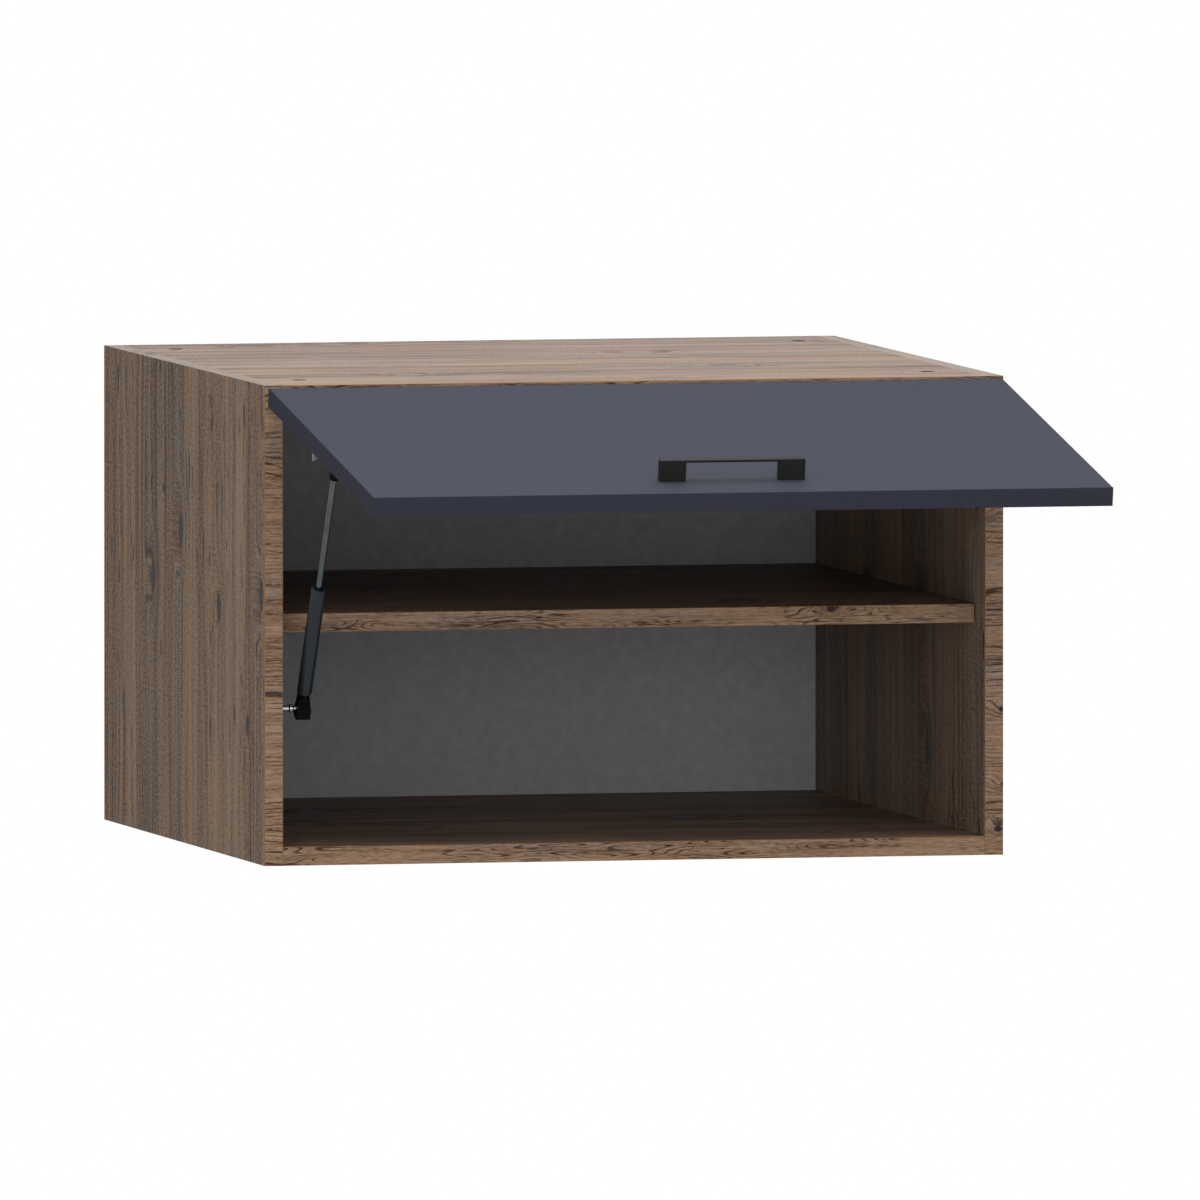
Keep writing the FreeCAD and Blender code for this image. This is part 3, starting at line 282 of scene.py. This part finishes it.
def open_slits(tree, layer, open_at):
    """Slits along the grain and slanting scores, each in patches of their own."""
    torn = add(tree, "MapRange", {0: layer["patch"], 1: TORN[0], 2: TORN[1]}).outputs[0]
    slit = add(tree, "MapRange", {0: layer["slit"], 1: open_at, 2: open_at + SLIT_EDGE, 4: torn}).outputs[0]
    scored = add(tree, "MapRange", {0: layer["patch"], 1: SCORED[0], 2: SCORED[1], 4: SCORE_DARK}).outputs[0]
    marks = {0: layer["score"], 1: SCORE_OPEN[0], 2: SCORE_OPEN[1], 4: scored}
    score = add(tree, "MapRange", marks).outputs[0]
    return add(tree, "Math", {0: slit, 1: score}, operation="MAXIMUM").outputs[0]


def weather(tree, travel, layer, strip_age):
    """Where the oak is worn, and the saw's ticks there, from the way travelled along the grain in mm."""
    age = add(tree, "Math", {0: strip_age, 1: STRIP_AGE, 2: layer["broad"]}, operation="MULTIPLY_ADD")
    worn = add(tree, "MapRange", {0: age.outputs[0], 1: WORN[0], 2: WORN[1]}).outputs[0]
    travel = add(tree, "Math", {0: layer["streak"], 1: SAW_SHIFT, 2: travel}, operation="MULTIPLY_ADD")
    turn = add(tree, "Math", {0: travel.outputs[0], 1: 2 * math.pi / SAW_PITCH}, operation="MULTIPLY")
    wave = add(tree, "Math", {0: turn.outputs[0]}, operation="SINE").outputs[0]
    saw = add(tree, "Math", {0: wave, 1: worn}, operation="MULTIPLY").outputs[0]
    return worn, saw


print("saw ticks in 10 cm:", round(100 / SAW_PITCH))

# %% [markdown]
# Now the steps come together. All the layers add up to one number for light and dark, and a colour ramp turns
# it into browns. The worn streaks lose some colour, and slits, filled knots and a painted shade on cut faces
# are put on top.
# The same number, with the flaws sunk into it, is the height for a shallow bump, as on a pressed print.

# %% Rustic oak print
# The ends of the brown ramp, then the stops between them.
TONE_STOPS = (0.2, 0.8, 0.38, 0.5, 0.62)
MIDDLE_TONE = 0.5
NOISE_MEAN = 0.5
RING_MEAN = 0.2
HALO_SHADE = 0.1
FADED = {"Saturation": 0.64, "Value": 0.92}
BAND_FACE = 0.9
# Faces found by this get a painted shade, a dark brown for the shadow in bores and cut edges.
SHADED_CUT_FACE = 0.5
FLAW_SINK = 0.5
RELIEF_STRENGTH = 0.4
RELIEF_DEPTH = 0.4


def mix_tone(tree, shares):
    """One number for light and dark, to which each layer adds its share, less its own mean."""
    tone = MIDDLE_TONE
    for part, mean, share in shares:
        part = add(tree, "Math", {0: part, 1: mean}, operation="SUBTRACT").outputs[0]
        tone = add(tree, "Math", {0: part, 1: share, 2: tone}, operation="MULTIPLY_ADD").outputs[0]
    return tone


def rustic_oak(name, along, tones, grain, knot, depths):
    """Melamine-faced oak print, with its grain along X or Z, or as an edge band."""
    material, tree = blank(name)
    sheet, facing, is_end = lay_out(tree, along)
    flat = add(tree, "SeparateXYZ", {0: sheet}).outputs
    strip_tone, strip_age = glue_up(tree, flat[1], grain["lamella"])
    heart, core, halo = grow_knots(tree, sheet, knot, depths["knots"])
    bent = bend_grain(tree, sheet, halo, grain["wander"], depths)
    layer = draw_grain(tree, bent, grain)
    line = ring_lines(tree, bent, layer, depths)
    slit = open_slits(tree, layer, depths["slits"])
    flaw = add(tree, "Math", {0: slit, 1: heart}, operation="MAXIMUM").outputs[0]
    worn, saw = weather(tree, flat[0], layer, strip_age)

    shares = [(layer[kind], NOISE_MEAN, depths[kind]) for kind in ("broad", "streak", "fibre", "grit")]
    shares += [(saw, 0.0, depths["saw"]), (line, RING_MEAN, -depths["line"])]
    shares += [(halo, 0.0, -HALO_SHADE), (strip_tone, NOISE_MEAN, depths["lamella"])]
    tone = mix_tone(tree, shares)
    wood = add(tree, "ValToRGB", {0: tone}, stops=list(zip(TONE_STOPS, tones))).outputs[0]
    grey = add(tree, "Math", {0: worn, 1: depths["grey"]}, operation="MULTIPLY").outputs[0]
    wood = add(tree, "HueSaturation", {**FADED, "Fac": grey, "Color": wood}).outputs[0]

    # Bores and unbanded edges are cut through the print. On a board they get a painted shade, a dark brown
    # that stands for the shadow inside them, and the scraped arrises of a band show its plain brown.
    width, depth = GRAIN_AXES[along][1:]
    if along == "band":
        shaded_cut_or_arris = add(tree, "Math", {0: facing[depth], 1: BAND_FACE}, operation="LESS_THAN").outputs[0]
    else:
        shaded_cut_or_arris = add(tree, "Math", {0: facing[width], 1: SHADED_CUT_FACE}, operation="GREATER_THAN").outputs[0]
    for mask, web in zip((flaw, core, shaded_cut_or_arris), tones[len(TONE_STOPS):]):
        wood = add(tree, "Mix", {0: mask, 6: wood, 7: linear(web)}, data_type="RGBA").outputs[2]

    # Resin-filled flaws are smoother than the fibres. So are the top and bottom ends of a standing side,
    # which shine as the boards that lie beside them do.
    rough = add(tree, "MapRange", {0: flaw, 3: depths["rough"], 4: depths["filled"]}).outputs[0]
    if along == "Z":
        rough = add(tree, "Mix", {0: is_end, 2: rough, 3: depths["ends"]}).outputs[0]
    relief = add(tree, "Math", {0: flaw, 1: -FLAW_SINK, 2: tone}, operation="MULTIPLY_ADD").outputs[0]
    bump = add(tree, "Bump", {"Height": relief, "Strength": RELIEF_STRENGTH, "Distance": RELIEF_DEPTH * MM})
    shader = add(tree, "BsdfPrincipled", {"Base Color": wood, "Roughness": rough, "Normal": bump.outputs[0],
                                          "IOR": 1.5, "Specular IOR Level": depths["shine"]})
    add(tree, "OutputMaterial", {"Surface": shader.outputs[0]})
    return material


print("stops of the brown ramp:", sorted(TONE_STOPS))

# %% [markdown]
# One recipe serves five prints, which differ only in their tables. The standing sides and the lying boards
# share a grain. The lying boards have stronger streaks, because the eye sees them at a flat angle. The edge
# bands are narrow, so their grain is finer, and the lying bands have flames, ring lines nested in each other.

# %% Tables for the oak
# Darkest, palest, then three browns between them, slits, filled knots and what a cut shows. On a board that
# last one is a painted shade, a dark brown for the shadow in bores and cut edges; on a band it is the arris's
# brown.
FACE_TONES = ["#42352c", "#8b7562", "#5f4c3e", "#73604f", "#7f6956", "#201c1c", "#262930", "#2a1c12"]
LYING_TONES = ["#45372d", "#937a66", "#665142", "#7a6453", "#876f5b", "#201c1c", "#262930", "#2a1c12"]
EDGE_TONES = ["#3b281e", "#927861", "#5f4938", "#775e49", "#846b56", "#1f1612", "#1a1716", "#7f5835"]
# Length and width of each layer in mm, and the width of a lamella. Fibres are 0.3 mm wide on oak. Drawn that
# fine they would blur, so they are wider here.
FACE_GRAIN = {
    "wander": (420, 60), "broad": (1500, 64), "streak": (800, 20), "fibre": (220, 4.4), "grit": (2.6, 5),
    "slit": (64, 11), "patch": (330, 110), "ring": (1100, 90), "score": (60, 7), "lamella": 58,
}
EDGE_GRAIN = {
    "wander": (160, 26), "broad": (220, 26), "streak": (260, 9), "fibre": (140, 1.6), "grit": (7, 1.2),
    "slit": (30, 2.4), "patch": (90, 30), "ring": (200, 30), "score": (26, 1.8), "lamella": 40,
}
FLAME_GRAIN = {**EDGE_GRAIN, "wander": (90, 14), "fibre": (120, 1.8), "grit": (9, 1.4), "ring": (120, 15)}
# How far each layer shows. Wander, bend and apart, the rings' distance, are in mm. Rings is how many more of
# them the noise brings, thin is where in a ring its dark part starts, knots is the share of cells with one,
# and slits is the level above which they open. Rough, filled and ends are the roughness of wood, of flaws and
# of a side's ends, and shine is the specular level.
SIDE_DEPTH = {
    "wander": 13, "bend": 30, "rings": 5, "apart": 14, "thin": 0.5, "broad": 0.25, "streak": 0.65,
    "fibre": 0.65, "grit": 0.55, "line": 0.13, "saw": 0.12, "grey": 0.7, "knots": 0.6, "slits": 0.66,
    "lamella": 0.17, "rough": 0.8, "filled": 0.65, "ends": 0.4, "shine": 0.12,
}
SATIN_DEPTH = {**SIDE_DEPTH, "rough": 0.55, "filled": 0.35, "shine": 0.24}
LYING_DEPTH = {**SATIN_DEPTH, "streak": 1.45, "fibre": 1.6, "grey": 0.8, "filled": 0.3, "shine": 0.21}
EDGE_DEPTH = {
    "wander": 2, "bend": 6, "rings": 7, "apart": 4.6, "thin": 0.66, "broad": 0.3, "streak": 0.7,
    "fibre": 0.85, "grit": 0.5, "line": 0.4, "saw": 0.06, "grey": 0.5, "knots": 0.4, "slits": 0.7,
    "lamella": 0.1, "rough": 0.7, "filled": 0.55, "shine": 0.15,
}
FLAME_DEPTH = {
    **EDGE_DEPTH, "wander": 3, "bend": 9, "rings": 15, "apart": 7, "thin": 0.55, "streak": 0.6,
    "fibre": 0.6, "grit": 0.5, "line": 0.43, "saw": 0.08, "lamella": 0.02,
}
print("values set for a side:", len(SIDE_DEPTH), "and for a band:", len(EDGE_DEPTH))

# %% [markdown]
# With the tables at hand, each print is one call. Both sides have the same decor. The right one, which shows
# its inside, has more sheen in the photograph than the left one, which shows its outside. So there are two
# finishes for one print, matt and satin.

# %% The five oak prints
# Matt melamine hardly shines, so the left side's print stays dark and clear.
upright_oak = rustic_oak("rustic_oak_print_upright", "Z", FACE_TONES, FACE_GRAIN, FACE_KNOT, SIDE_DEPTH)
# Satin melamine lays a soft light over the same print, on the right side.
satin_oak = rustic_oak("rustic_oak_print_upright_satin", "Z", FACE_TONES, FACE_GRAIN, FACE_KNOT, SATIN_DEPTH)
# On the lying boards the satin makes the top pale and gives its filled flaws a glint.
lying_oak = rustic_oak("rustic_oak_print_lying", "X", LYING_TONES, FACE_GRAIN, FACE_KNOT, LYING_DEPTH)
# A matt plastic band shows short dark lines across an upright edge, with a plain brown rim.
edge_oak = rustic_oak("rustic_oak_edge_band", "band", EDGE_TONES, EDGE_GRAIN, EDGE_KNOT, EDGE_DEPTH)
# The same band with flames shows long dark curls on a lying edge.
flame_oak = rustic_oak("rustic_oak_edge_band_flamed", "band", EDGE_TONES, FLAME_GRAIN, EDGE_KNOT, FLAME_DEPTH)
for oak in (upright_oak, satin_oak, lying_oak, edge_oak, flame_oak):
    print(oak.name, "has", len(oak.node_tree.nodes), "nodes")

# %% [markdown]
# The flap is board under a matt lacquer in a dark blue-grey. Sprayed lacquer is never quite flat: it has a
# faint skin of ripples, which only shows as a soft unevenness in the sheen. So the colour barely changes,
# and most of the work is in roughness and a very shallow bump. The same recipe, with other numbers, does for
# the black handle, the strut's tube, its moulded sockets and its rubber seal.

# %% Matt lacquers and plastics
CLOUD = 60
RIPPLE_SHARE = 0.35
COAT_RANGE = (0.4, 0.95)
COAT_BUMP = 0.25


def sprayed(name, web, shade, ripple, rough, ior, depth, level):
    """A sprayed or moulded coat in a colour and a darker shade; its ripple's size and depth are in mm."""
    material, tree = blank(name)
    low, high = COAT_RANGE
    place = add(tree, "TexCoord").outputs["Object"]
    grain = add(tree, "TexNoise", {"Vector": place, "Scale": 1 / (ripple * MM), "Detail": 3}).outputs["Fac"]
    cloud = add(tree, "TexNoise", {"Vector": place, "Scale": 1 / (CLOUD * MM), "Detail": 2}).outputs["Fac"]
    both = add(tree, "Math", {0: grain, 1: RIPPLE_SHARE, 2: cloud}, operation="MULTIPLY_ADD").outputs[0]
    colour = add(tree, "ValToRGB", {0: both}, stops=[(low, shade), (high, web)]).outputs[0]
    sheen = add(tree, "MapRange", {0: both, 1: low, 2: high, 3: rough[0], 4: rough[1]}).outputs[0]
    bump = add(tree, "Bump", {"Height": grain, "Strength": COAT_BUMP, "Distance": depth * MM}).outputs[0]
    shader = add(tree, "BsdfPrincipled", {"Base Color": colour, "Roughness": sheen, "Normal": bump,
                                          "IOR": ior, "Specular IOR Level": level})
    add(tree, "OutputMaterial", {"Surface": shader.outputs[0]})
    return material


# Matt lacquer looks even and dark, with no mirror in it. Its ripple is about 0.8 mm in life. Here it is drawn
# 2.2 mm wide so that it shows, and the ripples of the other coats are drawn coarser too.
flap_lacquer = sprayed("blue_grey_lacquer_matt", "#373944", "#343641", 2.2, (0.68, 0.76), 1.48, 0.05, 0.1)
# The plastic strip is duller and darker than the lacquer, so it frames the flap with a dark line.
flap_edge = sprayed("blue_grey_ABS_edge_band", "#2f303a", "#2c2d37", 1.8, (0.74, 0.84), 1.53, 0.04, 0.03)
# Powder coat is finely pebbled, so the handle's edges glow softly and don't glint.
handle_lacquer = sprayed("black_powder_coat_on_zinc", "#101011", "#0c0c0d", 1.1, (0.5, 0.62), 1.5, 0.06, 0.16)
# Lacquer on drawn tube is smooth, so a narrow light can run down the strut.
strut_lacquer = sprayed("slate_lacquer_on_steel_tube", "#151e23", "#11191e", 1.6, (0.28, 0.38), 1.5, 0.02,
                        0.3)
# Moulded nylon is near black, and only its ribs and edges catch some light.
socket_nylon = sprayed("black_glass_filled_nylon", "#040404", "#030303", 0.9, (0.3, 0.4), 1.53, 0.05, 0.05)
# Rubber is a dull black with a broad, faint sheen.
seal_rubber = sprayed("black_nitrile_rubber", "#0d0d0e", "#09090a", 0.8, (0.55, 0.7), 1.52, 0.05, 0.25)
coats = (flap_lacquer, flap_edge, handle_lacquer, strut_lacquer, socket_nylon, seal_rubber)
print("coats:", [coat.name for coat in coats])

# %% [markdown]
# The back is thin hardboard, lacquered grey on the side that faces the room and left as brown pressed
# fibre on the side that faces the wall. One material does both: it asks which way the face looks, and
# mixes two patterns, a fine mottle for the lacquer and tangled flecks for the bare fibre.

# %% Hardboard back
MOTTLE = 9
FLECK = 3
ROOM_FACE = -0.5
BACK_ROUGH = (0.5, 0.68)
FIBRE_STRENGTH = 0.3
FIBRE_DEPTH = 0.15


def hardboard(name, lacquer, lacquer_dark, fibre, fibre_dark):
    """Hardboard with one lacquered face, towards -Y, and the pressed fibre bare elsewhere."""
    material, tree = blank(name)
    place = add(tree, "TexCoord").outputs
    paper = {"Vector": place["Object"], "Scale": 1 / (MOTTLE * MM), "Detail": 6, "Roughness": 0.7}
    mottle = add(tree, "TexNoise", paper).outputs["Fac"]
    paint = add(tree, "ValToRGB", {0: mottle}, stops=[(0.36, lacquer_dark), (0.64, lacquer)]).outputs[0]
    felt = {"Vector": place["Object"], "Scale": 1 / (FLECK * MM), "Detail": 5, "Roughness": 0.75}
    fleck = add(tree, "TexNoise", {**felt, "Distortion": 1.4}).outputs["Fac"]
    bare = add(tree, "ValToRGB", {0: fleck}, stops=[(0.34, fibre_dark), (0.68, fibre)]).outputs[0]
    look = add(tree, "SeparateXYZ", {0: place["Normal"]}).outputs[1]
    front = add(tree, "Math", {0: look, 1: ROOM_FACE}, operation="LESS_THAN").outputs[0]
    colour = add(tree, "Mix", {0: front, 6: bare, 7: paint}, data_type="RGBA").outputs[2]
    rough = add(tree, "MapRange", {0: mottle, 3: BACK_ROUGH[0], 4: BACK_ROUGH[1]}).outputs[0]
    bump = add(tree, "Bump", {"Height": fleck, "Strength": FIBRE_STRENGTH, "Distance": FIBRE_DEPTH * MM})
    shader = add(tree, "BsdfPrincipled", {"Base Color": colour, "Roughness": rough, "Normal": bump.outputs[0],
                                          "IOR": 1.5})
    add(tree, "OutputMaterial", {"Surface": shader.outputs[0]})
    return material


# Thin lacquer lets the fibres through, so the grey looks mottled and soft, and the bare rear looks felted.
grey_back = hardboard("grey_lacquered_hardboard", "#9c9c9f", "#8e8f92", "#8a6a4c", "#5c4430")
print(grey_back.name, len(grey_back.node_tree.nodes), "nodes")

# %% [markdown]
# The fittings are metal: zinc-plated and nickel-plated steel, raw die-cast zinc, a dull passivated lug, a
# ground steel rod and a chromed stud. Metals are told apart by their tint and by how the surface was worked,
# so one recipe takes the tint, the roughness range and the size of the marks: rolled or ground metal has fine
# lines one way, and cast metal has specks.

# %% Metals
STAIN = 14
MARK_SHARE = 0.5
TINT_RANGE = (0.5, 0.95)
GLOSS_RANGE = (0.5, 1.0)
MARK_BUMP = 0.2


def worked_metal(name, web, tarnish, rough, scratch, depth):
    """Bare or plated metal: scratch is the size of its marks in mm along X, Y and Z."""
    material, tree = blank(name)
    place = add(tree, "TexCoord").outputs["Object"]
    size = add(tree, "VectorMath", {0: place, 1: [1 / (v * MM) for v in scratch]}, operation="MULTIPLY")
    lines = {"Vector": size.outputs[0], "Scale": 1, "Detail": 4, "Roughness": 0.65}
    marks = add(tree, "TexNoise", lines).outputs["Fac"]
    stain = add(tree, "TexNoise", {"Vector": place, "Scale": 1 / (STAIN * MM), "Detail": 3}).outputs["Fac"]
    both = add(tree, "Math", {0: marks, 1: MARK_SHARE, 2: stain}, operation="MULTIPLY_ADD").outputs[0]
    tints = zip(TINT_RANGE, (tarnish, web))
    colour = add(tree, "ValToRGB", {0: both}, stops=list(tints)).outputs[0]
    low, high = GLOSS_RANGE
    sheen = add(tree, "MapRange", {0: both, 1: low, 2: high, 3: rough[1], 4: rough[0]}).outputs[0]
    bump = add(tree, "Bump", {"Height": marks, "Strength": MARK_BUMP, "Distance": depth * MM}).outputs[0]
    shader = add(tree, "BsdfPrincipled", {"Base Color": colour, "Metallic": 1.0, "Roughness": sheen,
                                          "Normal": bump})
    add(tree, "OutputMaterial", {"Surface": shader.outputs[0]})
    return material


# The marks are hair-fine in life. Here they are drawn coarser, 0.7 to 9 mm long, so that they show.
# Zinc plate is a cool grey with a broad gloss.
zinc_plate = worked_metal("zinc_plated_steel", "#8b8d89", "#747672", (0.42, 0.54), (6, 0.8, 0.8), 0.02)
# Passivated zinc is duller and darker, a plain grey with no reflections.
dull_zinc = worked_metal("dull_passivated_zinc", "#747572", "#616260", (0.55, 0.68), (1.5, 1.5, 1.5), 0.03)
# Nickel is warmer and bright, with clear but streaky reflections.
nickel_plate = worked_metal("nickel_plated_pressed_steel", "#c8c4bb", "#b0aca2", (0.2, 0.32), (9, 0.9, 9),
                            0.015)
# Die-cast zinc has a grainy skin, which scatters the light.
cast_zinc = worked_metal("raw_die_cast_zinc", "#8b8a88", "#6c6a67", (0.42, 0.58), (1.2, 1.2, 1.2), 0.05)
# A ground and hardened rod is dark, and what it mirrors runs along it in thin stripes.
ground_rod = worked_metal("ground_steel_rod", "#5b6164", "#4b5154", (0.1, 0.18), (3, 3, 0.7), 0.01)
# Chrome is a mirror, bright where it sees the light and dark where it sees the cabinet.
chromed = worked_metal("chromed_steel", "#959799", "#87898b", (0.04, 0.1), (4, 1, 1), 0.005)
metals = (zinc_plate, dull_zinc, nickel_plate, cast_zinc, ground_rod, chromed)
print("metals:", [metal.name for metal in metals])

# %% [markdown]
# Two small things are left: the beech dowels, which show only if the boards come apart, and the clear
# bumpers that soften the flap's closing. Beech is pale with short dark rays. The bumpers are soft clear
# polyurethane, which lets light through, so their shader gets transmission.

# %% Beech and clear bumpers
RAY = (2, 0.7, 0.7)
BUBBLE = 1.2
BUMPER_ROUGH = (0.1, 0.22)


def beech(name):
    """Turned beech with its short rays, 2 mm long and a third as wide."""
    material, tree = blank(name)
    place = add(tree, "TexCoord").outputs["Object"]
    size = add(tree, "VectorMath", {0: place, 1: [1 / (v * MM) for v in RAY]}, operation="MULTIPLY")
    rays = add(tree, "TexNoise", {"Vector": size.outputs[0], "Scale": 1, "Detail": 2}).outputs["Fac"]
    colour = add(tree, "ValToRGB", {0: rays}, stops=[(0.35, "#a9855c"), (0.6, "#c9a77c")]).outputs[0]
    bump = add(tree, "Bump", {"Height": rays, "Strength": 0.3, "Distance": 0.05 * MM}).outputs[0]
    shader = add(tree, "BsdfPrincipled", {"Base Color": colour, "Roughness": 0.6, "Normal": bump, "IOR": 1.5})
    add(tree, "OutputMaterial", {"Surface": shader.outputs[0]})
    return material


def clear_rubber(name):
    """Clear soft polyurethane with a faint haze of fine bubbles."""
    material, tree = blank(name)
    place = add(tree, "TexCoord").outputs["Object"]
    haze = add(tree, "TexNoise", {"Vector": place, "Scale": 1 / (BUBBLE * MM), "Detail": 2}).outputs["Fac"]
    colour = add(tree, "ValToRGB", {0: haze}, stops=[(0.3, "#c9ccca"), (0.7, "#e2e4e2")]).outputs[0]
    rough = add(tree, "MapRange", {0: haze, 3: BUMPER_ROUGH[0], 4: BUMPER_ROUGH[1]}).outputs[0]
    shader = add(tree, "BsdfPrincipled", {"Base Color": colour, "Roughness": rough, "IOR": 1.49,
                                          "Transmission Weight": 0.7})
    add(tree, "OutputMaterial", {"Surface": shader.outputs[0]})
    return material


# Turned beech looks pale, warm and dry.
turned_beech = beech("turned_beech")
# Clear polyurethane looks like a milky drop and takes on the colour behind it.
clear_bumper = clear_rubber("clear_polyurethane")
print(turned_beech.name, clear_bumper.name)

# %% [markdown]
# Now the materials go onto the pieces. Each CAD piece came in with a slot name from the record, and the first
# table says which finish that slot gets. The second table names the pieces that need another look than their
# slot: the sides stand, so their grain runs up, the lying edge bands have flames, and the lug on the flap and
# its stud are duller than the other metal.

# %% Dress every piece
FINISH = {
    "oak_board": lying_oak, "oak_band": edge_oak, "grey_hardboard": grey_back,
    "grey_front_board": flap_lacquer, "grey_front_band": flap_edge, "black_lacquer": handle_lacquer,
    "zinc_cam": cast_zinc, "zinc_steel": zinc_plate, "nickel_steel": nickel_plate, "bright_stud": chromed,
    "beech_dowel": turned_beech, "strut_lacquer": strut_lacquer, "strut_rod_steel": ground_rod,
    "socket_nylon": socket_nylon, "strut_seal": seal_rubber, "clear_bumper": clear_bumper,
}
SPECIAL = {
    "left_side": upright_oak, "right_side": satin_oak, "band_shelf": flame_oak, "band_top_panel": flame_oak,
    "band_bottom_panel": flame_oak, "strut_flap_bracket": dull_zinc, "strut_flap_stud": dull_zinc,
}
for name, piece in pieces.items():
    for holder in piece.material_slots:
        slot = holder.material.name.split(".")[0]
        holder.material = SPECIAL.get(name, FINISH[slot])
used = sorted({holder.material.name for piece in pieces.values() for holder in piece.material_slots})
print("finishes in use:", len(used), used)

# %% [markdown]
# The studio. A wall cabinet hangs with its underside about 1.4 m above the floor, so the pale floor lies
# that far below and catches a soft shadow. A flat sheet is enough for it, and a faint mottle keeps it from
# looking like paper.

# %% Floor
FLOOR_DROP = 1.4
FLOOR_HALF = 4.0
FLOOR_MOTTLE = 40

floor_mesh = bpy.data.meshes.new("floor")
low = cad_box[0].z - FLOOR_DROP
corners = [(x * FLOOR_HALF, y * FLOOR_HALF, low) for x, y in ((-1, -1), (1, -1), (1, 1), (-1, 1))]
floor_mesh.from_pydata(corners, [], [(0, 1, 2, 3)])
floor = bpy.data.objects.new("floor", floor_mesh)
scene.collection.objects.link(floor)
# Matt floor paint looks pale and even and takes a soft shadow.
painted, tree = blank("pale_studio_floor")
place = add(tree, "TexCoord").outputs["Object"]
speck = add(tree, "TexNoise", {"Vector": place, "Scale": 1 / (FLOOR_MOTTLE * MM), "Detail": 4}).outputs["Fac"]
colour = add(tree, "ValToRGB", {0: speck}, stops=[(0.3, "#e2e2e0"), (0.7, "#e8e8e6")]).outputs[0]
shader = add(tree, "BsdfPrincipled", {"Base Color": colour, "Roughness": 0.8})
add(tree, "OutputMaterial", {"Surface": shader.outputs[0]})
floor_mesh.materials.append(painted)
print("floor at", round(low, 3), "m")

# %% [markdown]
# The background is white only for what looks at it, the camera, reflections and the clear bumpers, and the
# same sky gives the pieces a calmer, greyer light. Lamps of a metre or more make soft shadows: the overhead
# and the front one are the largest, and a weak one stands to the left.

# %% Sky and lamps
SKY = 0.55

sky = bpy.data.worlds.new("studio_sky")
scene.world = sky
sky.use_nodes = True
tree = sky.node_tree
tree.nodes.clear()
path = add(tree, "LightPath").outputs
direct = add(tree, "Math", {0: path["Is Camera Ray"], 1: path["Is Glossy Ray"]}, operation="MAXIMUM")
looks = add(tree, "Math", {0: direct.outputs[0], 1: path["Is Transmission Ray"]}, operation="MAXIMUM")
light = add(tree, "Background", {"Color": (1, 1, 1, 1), "Strength": SKY}).outputs[0]
white = add(tree, "Background", {"Color": (1, 1, 1, 1), "Strength": 1.0}).outputs[0]
shown = add(tree, "MixShader", {0: looks.outputs[0], 1: light, 2: white}).outputs[0]
add(tree, "OutputWorld", {"Surface": shown})


def softbox(name, spot, aim, size, watts):
    """A rectangular lamp at a spot, turned to shine at a point."""
    lamp = bpy.data.lights.new(name, "AREA")
    lamp.shape = "RECTANGLE"
    lamp.size, lamp.size_y = size
    lamp.energy = watts
    stand = bpy.data.objects.new(name, lamp)
    stand.location = spot
    stand.rotation_mode = "QUATERNION"
    stand.rotation_quaternion = (Vector(aim) - Vector(spot)).to_track_quat("-Z", "Y")
    scene.collection.objects.link(stand)


softbox("overhead_softbox", (0.1, -0.7, 2.3), (0.0, -0.4, 0.0), (2.4, 2.4), 54)
softbox("front_softbox", (-0.85, -3.6, 0.6), (0.0, -0.5, 0.0), (3.6, 2.4), 63)
softbox("left_softbox", (-3.2, -1.4, 1.0), (-0.3, -0.3, 0.0), (1.6, 1.6), 5.5)
